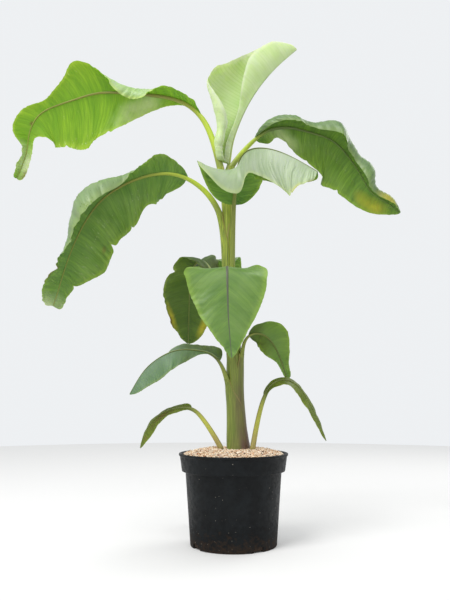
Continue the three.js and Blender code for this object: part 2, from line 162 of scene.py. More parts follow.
def plate(upper: Array, lower: Array, uv: Array, values: dict[str, Array], flip: bool) -> Patch:
    """A closed thin plate between two grids of points of the same shape.

    The rim runs round the grid's border and joins the two skins by one strip of quads.

    Args:
        upper: rows x columns x 3 points of the upper skin, facing rows x columns.
        lower: the same points on the lower skin.
        uv: rows x columns x 2 pattern coordinates in metres.
        values: a rows x columns array for each named value.
        flip: true if the upper skin faces the other way.

    Returns:
        The plate, with slot 0 on the upper skin and slot 1 on the lower skin and the rim.
    """
    rows, columns = upper.shape[:2]
    count = rows * columns
    top = grid_quads(rows, columns)
    number = np.arange(count).reshape(rows, columns)
    border = np.concatenate([number[:, 0], number[-1, 1:], number[-2::-1, -1], number[0, -2:0:-1]])
    ahead = np.roll(border, -1)
    rim = np.stack([border, border + count, ahead + count, ahead], -1)
    quads = np.concatenate([top, top[:, ::-1] + count, rim])
    if flip:
        quads = quads[:, ::-1]
    return Patch(
        points=np.concatenate([upper.reshape(-1, 3), lower.reshape(-1, 3)]),
        quads=quads,
        uv=np.tile(uv.reshape(-1, 2), (2, 1)),
        values={name: np.tile(value.reshape(-1), 2) for name, value in values.items()},
        quad_slots=np.repeat([0, 1, 1], [len(top), len(top), len(rim)]),
    )


def tube(rings: Array, uv: Array, values: dict[str, Array]) -> Patch:
    """A closed tube through rings of points, each ring anticlockwise as seen from the tube's far end.

    Each end is closed by a fan of triangles round the ring's middle.

    Args:
        rings: rows x columns x 3 points.
        uv: rows x columns x 2 pattern coordinates in metres.
        values: a rows x columns array for each named value.

    Returns:
        The tube.
    """
    rows, columns = rings.shape[:2]
    number = np.arange(rows * columns).reshape(rows, columns)
    first, last = number[0], number[-1]
    middle = rows * columns
    low_fan = np.stack([np.full(columns, middle), np.roll(first, -1), first], -1)
    high_fan = np.stack([np.full(columns, middle + 1), last, np.roll(last, -1)], -1)

    def with_middles(grid: Array, width: int) -> Array:
        """The grid's rows of values with the two end rings' means added."""
        flat = grid.reshape(-1, width)
        return np.concatenate([flat, grid[[0, -1]].reshape(2, -1, width).mean(1)])

    return Patch(
        points=with_middles(rings, 3),
        quads=grid_quads(rows, columns, closed=True)[:, ::-1],
        tris=np.concatenate([low_fan, high_fan]),
        uv=with_middles(uv, 2),
        values={name: with_middles(value[..., None], 1)[:, 0] for name, value in values.items()},
    )


def join(patches: Sequence[Patch]) -> Patch:
    """Several patches as one, with their faces renumbered."""
    starts = np.cumsum([0] + [len(p.points) for p in patches[:-1]])
    return Patch(
        points=np.concatenate([p.points for p in patches]),
        quads=np.concatenate([p.quads + start for p, start in zip(patches, starts)]),
        tris=np.concatenate([p.tris + start for p, start in zip(patches, starts)]),
        uv=None if patches[0].uv is None else np.concatenate([p.uv for p in patches]),
        values={name: np.concatenate([p.values[name] for p in patches]) for name in patches[0].values},
        quad_slots=np.concatenate([p.slots()[:len(p.quads)] for p in patches]),
    )


def add_piece(
    name: str,
    patch: Patch,
    materials: Sequence[bpy.types.Material],
    replaces: Sequence[str] = (),
    crease: float = 50,
) -> bpy.types.Object:
    """Makes a patch into a finished piece that rides on the plant's one body.

    Args:
        name: the piece's name.
        patch: its surface.
        materials: one material for each slot number of the patch.
        replaces: the CAD nodes that the piece stands for.
        crease: edges that turn more than this many degrees are shaded sharp.

    Returns:
        The new object.
    """
    mesh = bpy.data.meshes.new(name)
    corners = np.concatenate([patch.quads.ravel(), patch.tris.ravel()]).astype(np.int32)
    totals = np.repeat([4, 3], [len(patch.quads), len(patch.tris)])
    mesh.vertices.add(len(patch.points))
    mesh.vertices.foreach_set("co", (patch.points * MM).astype(np.float32).ravel())
    mesh.loops.add(len(corners))
    mesh.loops.foreach_set("vertex_index", corners)
    mesh.polygons.add(len(totals))
    mesh.polygons.foreach_set("loop_start", np.concatenate([[0], np.cumsum(totals)[:-1]]).astype(np.int32))
    mesh.polygons.foreach_set("use_smooth", np.ones(len(totals), bool))
    mesh.polygons.foreach_set("material_index", patch.slots().astype(np.int32))
    if patch.uv is not None:
        layer = mesh.uv_layers.new(name="surface")
        layer.data.foreach_set("uv", patch.uv[corners].astype(np.float32).ravel())
    for key, value in patch.values.items():
        attribute = mesh.attributes.new(key, "FLOAT", "POINT")
        attribute.data.foreach_set("value", value.astype(np.float32))
    mesh.update(calc_edges=True)
    mesh.set_sharp_from_angle(angle=math.radians(crease))
    mesh.validate()
    for material in materials:
        mesh.materials.append(material)
    piece = bpy.data.objects.new(name, mesh)
    bpy.context.scene.collection.objects.link(piece)
    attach(piece, BODY)
    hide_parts(*replaces)
    LOG.info("%s: %d faces, stands for %s", name, len(totals), ", ".join(replaces) or "no node")
    return piece


# ---- finishes -------------------------------------------------------------------------------------


def linear(colour: str) -> tuple[float, float, float, float]:
    """An sRGB hex colour such as #7a8c3d as linear red, green, blue and alpha 1."""
    shares = np.array([int(colour[k:k + 2], 16) for k in (1, 3, 5)]) / 255
    values = np.where(shares <= 0.04045, shares / 12.92, ((shares + 0.055) / 1.055) ** 2.4)
    return (*values.tolist(), 1.0)


def add_node(
    tree: bpy.types.NodeTree, kind: str, inputs: Optional[dict[Any, Any]] = None, **settings: Any
) -> bpy.types.Node:
    """Adds a node with its settings, and fills or links its inputs.

    Args:
        tree: the node tree.
        kind: the node's type name, less the ShaderNode that each of them starts with.
        inputs: a value or another node's output for each input, by name or number.
        settings: the node's own properties.

    Returns:
        The new node.
    """
    node = tree.nodes.new("ShaderNode" + kind)
    for key, value in settings.items():
        setattr(node, key, value)
    for key, value in (inputs or {}).items():
        if isinstance(value, bpy.types.NodeSocket):
            tree.links.new(value, node.inputs[key])
        else:
            node.inputs[key].default_value = value
    return node


MIX_A, MIX_B, MIX_OUT = 6, 7, 2     # a colour Mix node's sockets
WAVE_PITCH = 0.314                  # a wave texture's bands are 2 pi / 20 apart at scale 1


class Tint(Enum):
    """Patches that differ from the rest of a blade by their colour: pale patches, painted shade where a blade
    lies in shadow (OLIVE), yellowed tissue and dead tissue.
    """

    PALE = "#aebb92"
    # Painted shade: a dark olive laid over a blade where it lies in shadow.
    OLIVE = "#38400d"
    YELLOW = "#a59a2b"
    BROWN = "#5f432a"

    @property
    def layer(self) -> str:
        """The name of the mesh attribute that holds how much of it there is."""
        return self.name.lower()


@dataclass(frozen=True)
class Finish:
    """A finish with the shader values that are the same all over its surface."""

    name: str
    roughness: float = 0.5
    ior: float = 1.45
    specular: float = 0.5
    glow: float = 0.0           # share of light that goes into the tissue and through it
    bump: float = 0.3           # strength of the relief

    def make(self) -> bpy.types.Material:
        """Makes the material: its pattern, then one shader and the output.

        Returns:
            The new material.
        """
        material = bpy.data.materials.new(self.name)
        material.use_nodes = True
        tree = material.node_tree
        tree.nodes.clear()
        colour, height, roughness = self.pattern(tree)
        relief = add_node(tree, "Bump", {
            "Strength": self.bump, "Distance": 0.001, "Height": height})
        shader = add_node(tree, "BsdfPrincipled", {
            "Base Color": colour, "Roughness": roughness, "IOR": self.ior,
            "Specular IOR Level": self.specular, "Normal": relief.outputs["Normal"],
            "Subsurface Weight": self.glow, "Subsurface Radius": (0.7, 1.0, 0.25),
            "Subsurface Scale": 0.004})
        add_node(tree, "OutputMaterial", {"Surface": shader.outputs["BSDF"]})
        return material

    @staticmethod
    def coat(tree: bpy.types.NodeTree, ground: Any, coats: Sequence[tuple[Any, str]]) -> Any:
        """Lays colours over one another, each by the share that its pattern gives.

        Args:
            tree: the material's node tree.
            ground: the colour underneath, as an output socket or a value.
            coats: a share and an sRGB hex colour for each coat, the lowest first.

        Returns:
            The coated colour's output socket.
        """
        for share, colour in coats:
            mix = add_node(tree, "Mix", {0: share, MIX_A: ground, MIX_B: linear(colour)}, data_type="RGBA")
            ground = mix.outputs[MIX_OUT]
        return ground

    def pattern(self, tree: bpy.types.NodeTree) -> tuple[Any, Any, Any]:
        """The finish's pattern.

        Args:
            tree: the material's node tree.

        Returns:
            The colour, relief height and roughness, each an output socket or a value.
        """
        raise NotImplementedError


@dataclass(frozen=True)
class LeafSkin(Finish):
    """A leaf's skin: parallel side veins that run from the rib to the margin, with streaks of lighter
    and darker tissue between them, a thin pale margin, and where marked, pale patches, painted shade, and
    yellowed or dead tissue.

    The surface map runs along the rib in x and from the rib to the margin in y, in metres."""

    bump: float = 0.1
    deep: str = "#3f6426"
    mid: str = "#5d8332"
    light: str = "#7a9a45"
    margin: str = "#a3b86a"
    bloom: str = "#a9b99a"      # the wax that greys the skin
    waxy: float = 0.25          # how much wax there is
    vein_spacing: float = 0.0065
    contrast: float = 1.0       # of the streaks
    ridges: float = 0.3         # how dark the side veins are

    def pattern(self, tree: bpy.types.NodeTree) -> tuple[Any, Any, Any]:
        """Streaks, veins, wax, margin, and the marked pale patches, painted shade, yellowing and dead tissue,
        laid one over the other.
        """
        place = add_node(tree, "UVMap", uv_map="surface").outputs["UV"]
        body = add_node(tree, "TexCoord").outputs["Object"]
        # Streaks 5 to 9 mm apart and some 80 mm long; real ones are a third of that, too fine to show.
        stretched = add_node(tree, "Mapping", {"Vector": place, "Scale": (1 / 0.007, 1 / 0.08, 1)})
        streaks = add_node(tree, "TexNoise", {
            "Vector": stretched.outputs["Vector"], "Scale": 1.0, "Detail": 4.0,
            "Roughness": 0.6}).outputs["Fac"]
        # Bands of older and younger tissue, 30 mm wide and 160 mm long.
        broad = add_node(tree, "Mapping", {"Vector": place, "Scale": (1 / 0.03, 1 / 0.16, 1)})
        bands = add_node(tree, "TexNoise", {
            "Vector": broad.outputs["Vector"], "Scale": 1.0, "Detail": 2.0}).outputs["Fac"]
        # Patches of wax some 50 mm across.
        blotches = add_node(tree, "TexNoise", {
            "Vector": body, "Scale": 1 / 0.05, "Detail": 3.0}).outputs["Fac"]
        veins = add_node(tree, "TexWave", {
            "Vector": place, "Scale": WAVE_PITCH / self.vein_spacing, "Distortion": 0.6, "Detail": 1.0,
            "Detail Scale": 0.4}).outputs["Fac"]
        banded = add_node(tree, "MapRange", {
            "Value": bands, "From Min": 0.4, "From Max": 0.62}).outputs["Result"]
        spread = 0.19 / self.contrast
        streaked = add_node(tree, "MapRange", {
            "Value": streaks, "From Min": 0.5 - spread, "From Max": 0.5 + spread}).outputs["Result"]
        shade = add_node(tree, "Math", {0: streaked, 1: 0.7}, operation="MULTIPLY").outputs[0]
        ridge = add_node(tree, "MapRange", {
            "Value": veins, "From Min": 0.75, "From Max": 1.0, "To Max": self.ridges}).outputs["Result"]
        wax = add_node(tree, "MapRange", {
            "Value": blotches, "From Min": 0.35, "From Max": 0.7, "To Min": self.waxy * 0.3,
            "To Max": self.waxy}).outputs["Result"]
        across = add_node(tree, "Attribute", attribute_name="across").outputs["Fac"]
        edge = add_node(tree, "MapRange", {
            "Value": across, "From Min": 0.82, "From Max": 1.0, "To Max": 0.6},
            interpolation_type="SMOOTHERSTEP").outputs["Result"]
        coats = [(banded, self.light), (shade, self.deep), (ridge, self.deep), (wax, self.bloom),
                 (edge, self.margin)]
        # The marked patches: pale, olive painted shade, yellowed and dead.
        for tint in Tint:
            amount = add_node(tree, "Attribute", attribute_name=tint.layer).outputs["Fac"]
            broken = add_node(tree, "Math", {0: amount, 1: blotches, 2: 0.0}, operation="MULTIPLY_ADD")
            marked = add_node(tree, "MapRange", {
                "Value": broken.outputs[0], "From Min": 0.1, "From Max": 0.6, "To Max": 0.9})
            coats.append((marked.outputs["Result"], tint.value))
        height = add_node(tree, "Math", {0: veins, 1: 0.35, 2: streaks}, operation="MULTIPLY_ADD")
        rough = add_node(tree, "MapRange", {
            "Value": blotches, "From Min": 0.3, "From Max": 0.7, "To Min": self.roughness - 0.06,
            "To Max": self.roughness + 0.08})
        return self.coat(tree, linear(self.mid), coats), height.outputs[0], rough.outputs["Result"]


@dataclass(frozen=True)
class RibSkin(Finish):
    """A petiole's and midrib's skin: smooth, finely striped along its length, and changing colour from
    the petiole to the midrib and from the keel to the channel on top."""

    petiole: str = "#a9bd3c"
    keel: str = "#8a8a3a"       # the midrib's underside
    channel: str = "#7d8a4a"    # the midrib's upper side
    lip: str = "#7b6a35"        # the petiole's edges
    foot: str = "#86943a"       # where it leaves the stem

    def pattern(self, tree: bpy.types.NodeTree) -> tuple[Any, Any, Any]:
        """Petiole to midrib by distance, keel to channel by height, and stripes along the length."""
        place = add_node(tree, "UVMap", uv_map="surface").outputs["UV"]
        # Fibres about 1.5 mm apart that run for 60 mm.
        stretched = add_node(tree, "Mapping", {"Vector": place, "Scale": (1 / 0.06, 1 / 0.0015, 1)})
        fibres = add_node(tree, "TexNoise", {
            "Vector": stretched.outputs["Vector"], "Scale": 1.0, "Detail": 3.0}).outputs["Fac"]
        along, above, beside, below = (
            add_node(tree, "Attribute", attribute_name=name).outputs["Fac"]
            for name in ("along", "above", "lip", "foot"))
        midrib = self.coat(tree, linear(self.keel), [(above, self.channel)])
        tissue = add_node(tree, "Mix", {
            0: along, MIX_A: linear(self.petiole), MIX_B: midrib}, data_type="RGBA").outputs[MIX_OUT]
        tissue = self.coat(tree, tissue, [(beside, self.lip), (below, self.foot)])
        stripe = add_node(tree, "MapRange", {
            "Value": fibres, "From Min": 0.3, "From Max": 0.7, "To Min": 0.82, "To Max": 1.12})
        colour = add_node(tree, "VectorMath", {0: tissue, 1: stripe.outputs["Result"]}, operation="MULTIPLY")
        return colour.outputs["Vector"], fibres, self.roughness


@dataclass(frozen=True)
class SheathSkin(Finish):
    """The pseudostem's leaf sheaths: upright fibres, green on one flank and flushed purple-brown on the
    other and towards the ground, with dry papery edges."""

    young: str = "#adbd3e"      # near the crown
    green: str = "#7f8b38"
    shaded: str = "#5b6a26"
    flush: str = "#614c3c"
    dry: str = "#a58f5c"

    def pattern(self, tree: bpy.types.NodeTree) -> tuple[Any, Any, Any]:
        """Green to flushed across the stem and down to the ground, streaked along the fibres."""
        place = add_node(tree, "TexCoord").outputs["Object"]
        # Fibre bundles about 3 mm apart that run for 90 mm.
        stretched = add_node(tree, "Mapping", {"Vector": place, "Scale": (1 / 0.003, 1 / 0.003, 1 / 0.09)})
        fibres = add_node(tree, "TexNoise", {
            "Vector": stretched.outputs["Vector"], "Scale": 1.0, "Detail": 4.0}).outputs["Fac"]
        # Upright blotches 20 mm wide and 120 mm tall.
        broad = add_node(tree, "Mapping", {"Vector": place, "Scale": (1 / 0.02, 1 / 0.02, 1 / 0.12)})
        blotches = add_node(tree, "TexNoise", {
            "Vector": broad.outputs["Vector"], "Scale": 1.0, "Detail": 3.0}).outputs["Fac"]
        parts = add_node(tree, "SeparateXYZ", {"Vector": place})
        edge = add_node(tree, "Attribute", attribute_name="edge").outputs["Fac"]
        flank, low, high, streak, papery = (
            add_node(tree, "MapRange", {
                "Value": value, "From Min": least, "From Max": most, "To Max": full}).outputs["Result"]
            for value, least, most, full in (
                (parts.outputs["X"], -0.02, 0.05, 1.0),
                (parts.outputs["Z"], 0.72, 0.26, 1.0),
                (parts.outputs["Z"], 0.66, 0.92, 1.0),
                (fibres, 0.32, 0.68, 1.0),
                (edge, 0.86, 0.98, 0.6)))
        flushed = add_node(tree, "Math", {0: flank, 1: low, 2: 0.0}, operation="MULTIPLY_ADD")
        uneven = add_node(tree, "Math", {
            0: blotches, 1: 0.9, 2: flushed.outputs[0]}, operation="MULTIPLY_ADD").outputs[0]
        amount = add_node(tree, "MapRange", {
            "Value": uneven, "From Min": 0.62, "From Max": 1.15}).outputs["Result"]
        tissue = self.coat(tree, linear(self.green), [
            (high, self.young), (streak, self.shaded), (amount, self.flush), (papery, self.dry)])
        return tissue, fibres, self.roughness


@dataclass(frozen=True)
class PotPlastic(Finish):
    """Black injection-moulded polypropylene: a fine matt grain, water-splashed dust in small specks, and
    brown soil dried on towards the foot."""

    black: str = "#06090b"
    worn: str = "#12171a"
    dust: str = "#8f897d"
    soil: str = "#33271d"

    def pattern(self, tree: bpy.types.NodeTree) -> tuple[Any, Any, Any]:
        """Black worn grey in patches, with specks of dust and soil low down."""
        place = add_node(tree, "TexCoord").outputs["Object"]
        # The mould's matt grain, drawn at 1.5 mm because the real 0.1 mm is too fine to show.
        grain = add_node(tree, "TexNoise", {
            "Vector": place, "Scale": 1 / 0.0015, "Detail": 2.0}).outputs["Fac"]
        scuffs = add_node(tree, "TexNoise", {
            "Vector": place, "Scale": 1 / 0.04, "Detail": 6.0, "Roughness": 0.65}).outputs["Fac"]
        worn = add_node(tree, "MapRange", {
            "Value": scuffs, "From Min": 0.42, "From Max": 0.75}).outputs["Result"]
        height = add_node(tree, "SeparateXYZ", {"Vector": place}).outputs["Z"]
        low = add_node(tree, "MapRange", {
            "Value": height, "From Min": 0.09, "From Max": 0.0, "To Max": 0.32}).outputs["Result"]
        splashed = add_node(tree, "TexNoise", {
            "Vector": place, "Scale": 1 / 0.012, "Detail": 8.0, "Roughness": 0.75}).outputs["Fac"]
        soiled = add_node(tree, "Math", {0: splashed, 1: low}, operation="ADD").outputs[0]
        soil = add_node(tree, "MapRange", {
            "Value": soiled, "From Min": 0.68, "From Max": 0.86, "To Max": 0.8}).outputs["Result"]
        # Grit specks 1 to 3 mm wide in a 9 mm cell pattern, in two cells of five at the foot and one of ten
        # from 130 mm up, and warped by 3 mm so that they are not round.
        warp = add_node(tree, "TexNoise", {"Vector": place, "Scale": 1 / 0.002, "Detail": 1.0})
        bent = add_node(tree, "VectorMath", {
            0: warp.outputs["Color"], 1: (0.006, 0.006, 0.006), 2: place}, operation="MULTIPLY_ADD")
        cells = add_node(tree, "TexVoronoi", {"Vector": bent.outputs["Vector"], "Scale": 1 / 0.009})
        speck = add_node(tree, "MapRange", {
            "Value": cells.outputs["Distance"], "From Min": 0.14, "From Max": 0.06}).outputs["Result"]
        lot = add_node(tree, "SeparateColor", {"Color": cells.outputs["Color"]}).outputs["Red"]
        bar = add_node(tree, "MapRange", {
            "Value": height, "From Max": 0.13, "To Min": 0.6, "To Max": 0.9}).outputs["Result"]
        chosen = add_node(tree, "Math", {0: lot, 1: bar}, operation="GREATER_THAN").outputs[0]
        shown = add_node(tree, "Math", {0: speck, 1: chosen}, operation="MULTIPLY").outputs[0]
        rough = add_node(tree, "MapRange", {
            "Value": soiled, "From Min": 0.4, "From Max": 0.85, "To Min": self.roughness,
            "To Max": 0.9}).outputs["Result"]
        coats = [(worn, self.worn), (soil, self.soil), (shown, self.dust)]
        return self.coat(tree, linear(self.black), coats), grain, rough


@dataclass(frozen=True)
class Crumb(Finish):
    """Loose earth or a wood chip's torn face: one colour, mottled, with a coarse grain."""

    colour: str = "#c9b08a"
    dark: str = "#a98c66"
    grain: float = 0.004

    def pattern(self, tree: bpy.types.NodeTree) -> tuple[Any, Any, Any]:
        """Two shades mixed by noise of the grain's size."""
        place = add_node(tree, "TexCoord").outputs["Object"]
        noise = add_node(tree, "TexNoise", {
            "Vector": place, "Scale": 1 / self.grain, "Detail": 3.0}).outputs["Fac"]
        share = add_node(tree, "MapRange", {
            "Value": noise, "From Min": 0.35, "From Max": 0.65}).outputs["Result"]
        return self.coat(tree, linear(self.colour), [(share, self.dark)]), noise, self.roughness


class Tone(Enum):
    """The age and light that a leaf's skins show, as the upper skin and the lower skin."""

    SPEAR = (
        LeafSkin("spear_leaf_upper", roughness=0.5, glow=0.35, deep="#9aba72", mid="#b0cb8a", light="#bbd09c",
                 margin="#d3dfb8", bloom="#cfd9bd", waxy=0.3, vein_spacing=0.009, contrast=0.7, ridges=0.75),
        LeafSkin("spear_leaf_under", roughness=0.5, glow=0.35, deep="#abca7c", mid="#bcd68e", light="#cbdfa6",
                 margin="#d6e2b8", bloom="#d2dfba", waxy=0.3, vein_spacing=0.008, contrast=0.6),
    )
    YOUNG = (
        LeafSkin("young_leaf_upper", roughness=0.45, glow=0.3, deep="#668f3c", mid="#7fa055", light="#96b46c",
                 margin="#a9c25c", bloom="#b9c6ab", waxy=0.4),
        LeafSkin("young_leaf_under", roughness=0.6, glow=0.3, specular=0.3, deep="#487416", mid="#649019",
                 light="#7fa523", margin="#8fae36", bloom="#86a04c", waxy=0.15),
    )
    WAXY = (
        LeafSkin("waxy_leaf_upper", roughness=0.45, glow=0.2, deep="#6d855a", mid="#879c72", light="#98ab82",
                 margin="#a9b87c", bloom="#a3ad98", waxy=0.55),
        LeafSkin("waxy_leaf_under", roughness=0.6, glow=0.2, specular=0.3, deep="#33591a", mid="#497320",
                 light="#5f8829", margin="#82a23a", bloom="#7d9a5c", waxy=0.2, contrast=1.2),
    )
    MATURE = (
        LeafSkin("mature_leaf_upper", roughness=0.45, glow=0.2, deep="#4a6934", mid="#66834a",
                 light="#7a955b", margin="#869d5c", bloom="#93a182", waxy=0.4),
        LeafSkin("mature_leaf_under", roughness=0.62, glow=0.22, specular=0.3, deep="#2f511a",
                 mid="#4a6f26", light="#638532", margin="#78943c", bloom="#7c9465", waxy=0.3, contrast=1.3),
    )
    FIRM = (
        LeafSkin("firm_leaf_upper", roughness=0.5, glow=0.15, deep="#3f6426", mid="#50732c", light="#678938",
                 margin="#7c9c3a", bloom="#80955e", waxy=0.3),
        LeafSkin("firm_leaf_under", roughness=0.6, glow=0.2, specular=0.3, deep="#3c5c22", mid="#50722b",
                 light="#658535", margin="#7c953f", bloom="#84966b", waxy=0.3),
    )
    SHADED = (
        LeafSkin("shaded_leaf_upper", roughness=0.55, glow=0.15, deep="#2c4417", mid="#3a5519",
                 light="#4b6525", margin="#5f742c", bloom="#58693f", waxy=0.25),
        LeafSkin("shaded_leaf_under", roughness=0.62, glow=0.15, specular=0.3, deep="#2b3f14", mid="#3a521a",
                 light="#4b6326", margin="#65762e", bloom="#5d6b42", waxy=0.25),
    )
    LOW = (
        LeafSkin("low_leaf_upper", roughness=0.5, glow=0.15, deep="#43603e", mid="#53724f", light="#62805d",
                 margin="#758652", bloom="#7e9078", waxy=0.3, contrast=0.6, specular=0.4),
        LeafSkin("low_leaf_under", roughness=0.6, glow=0.2, specular=0.3, deep="#3a4a1c", mid="#4c5c24",
                 light="#5d6d30", margin="#6f7c3a", bloom="#6d7a50", waxy=0.3),
    )
    DUSKY = (
        LeafSkin("dusky_leaf_upper", roughness=0.45, glow=0.18, deep="#3c5a28", mid="#567540",
                 light="#6b884f", margin="#7b9354", bloom="#7f9070", waxy=0.35, contrast=1.2),
        LeafSkin("dusky_leaf_under", roughness=0.62, glow=0.22, specular=0.3, deep="#29480f", mid="#44671c",
                 light="#5e8029", margin="#6f8c34", bloom="#738c5a", waxy=0.3, contrast=1.5),
    )
    OLIVE = (
        LeafSkin("olive_leaf_upper", roughness=0.5, glow=0.12, deep="#454f16", mid="#58671f", light="#6b7a29",
                 margin="#7a8434", bloom="#757f48", waxy=0.2, contrast=0.7, specular=0.25),
        LeafSkin("olive_leaf_under", roughness=0.6, glow=0.15, specular=0.3, deep="#485218", mid="#5a6720",
                 light="#6c792b", margin="#7c8336", bloom="#7b8452", waxy=0.25, contrast=0.7),
    )


class RibTone(Enum):
    """The finish of a leaf's petiole and midrib."""

    BRIGHT = RibSkin("bright_petiole", roughness=0.42, glow=0.15, petiole="#aec238", keel="#86883a",
                     channel="#95a258", lip="#96a234")
    GREEN = RibSkin("green_petiole", roughness=0.45, glow=0.12, petiole="#98a242", keel="#7f8a3c",
                    channel="#55594a", lip="#6a6432")
    PALE = RibSkin("pale_petiole", roughness=0.5, glow=0.2, petiole="#bccb70", keel="#a9b58c",
                   channel="#b4c298", lip="#a8b568", foot="#a4b44c")
    FRESH = RibSkin("fresh_petiole", roughness=0.42, glow=0.15, petiole="#aec238", keel="#5f7434",
                    channel="#8a9a5c", lip="#96a234")
    DULL = RibSkin("dull_petiole", roughness=0.5, glow=0.1, petiole="#b0b347", keel="#64712f",
                   channel="#687436", lip="#7d5b3c", foot="#a19657")
    BROWN = RibSkin("brown_petiole", roughness=0.45, glow=0.08, petiole="#7f8836", keel="#5f6a2c",
                    channel="#8a9a6c", lip="#533c30", foot="#7f8a38")


# ---- leaves ---------------------------------------------------------------------------------------


class Side(Enum):
    """A leaf's two halves, with the sign of their direction from the rib."""

    LEFT = 1
    RIGHT = -1


@dataclass(frozen=True)
class Half:
    """A half blade, by equally spaced values from the blade's foot to its tip.

    lift is the angle at which it leaves the rib, curl the angle it turns through on its way to the
    margin, both in degrees, width its share of the leaf's widest half, and wave the height in mm,
    count, phase and scallop of its margin's waves. The higher power is, the nearer to the margin the
    half blade curls."""

    lift: Sequence[float]
    curl: Sequence[float]
    width: Sequence[float] = (1,)
    wave: Sequence[float] = (0, 0, 0, 0)
    power: float = 1.0


@dataclass(frozen=True)
class Tear:
    """A notch in a margin, by its share of the blade's length, its depth as a share of the half blade's
    width, and its length along the margin in mm."""

    side: Side
    share: float
    depth: float
    length: float = 5.0


@dataclass(frozen=True)
class Mark:
    """A patch of one tint, by its place (share of the length, share of the way to the margin) and
    its half lengths along and across in mm, at which it has faded to a third. An olive patch is painted
    shade."""

    tint: Tint
    side: Side
    share: float
    across: float
    length: float
    width: float


# All lengths are in mm.
RIB_STEPS = 960             # steps in which a midrib line is walked
RIB_SPACING = 3.0           # distance between the rings of a rib's mesh
RIB_SIDES = 24
TIP_RIB = 1.4               # a midrib's radius at the leaf's tip
STEM_FOOT = 45.0            # how far a petiole runs on into the stem
CHIP_FOOT = 14.0            # and into the chips
SWEEP_POWER = 1.6           # how the side veins bend forward on their way to the margin
BLADE_STEP = 2.6            # size of a blade's quads along the rib
BLADE_COLUMNS = 22
NARROWEST = 1.5             # least width of a half blade
THICKNESS = 0.55
SAG = 1.6                   # height of a blade's slow unevenness
RAGGED_WAVE = 11            # typical lengths of the margin's unevenness,
PLEAT_WAVE = 13             # of the folds along the side veins,
FRILL_WAVE = 30             # of the margin's small waves
SAG_WAVE = 75               # and of the slow unevenness


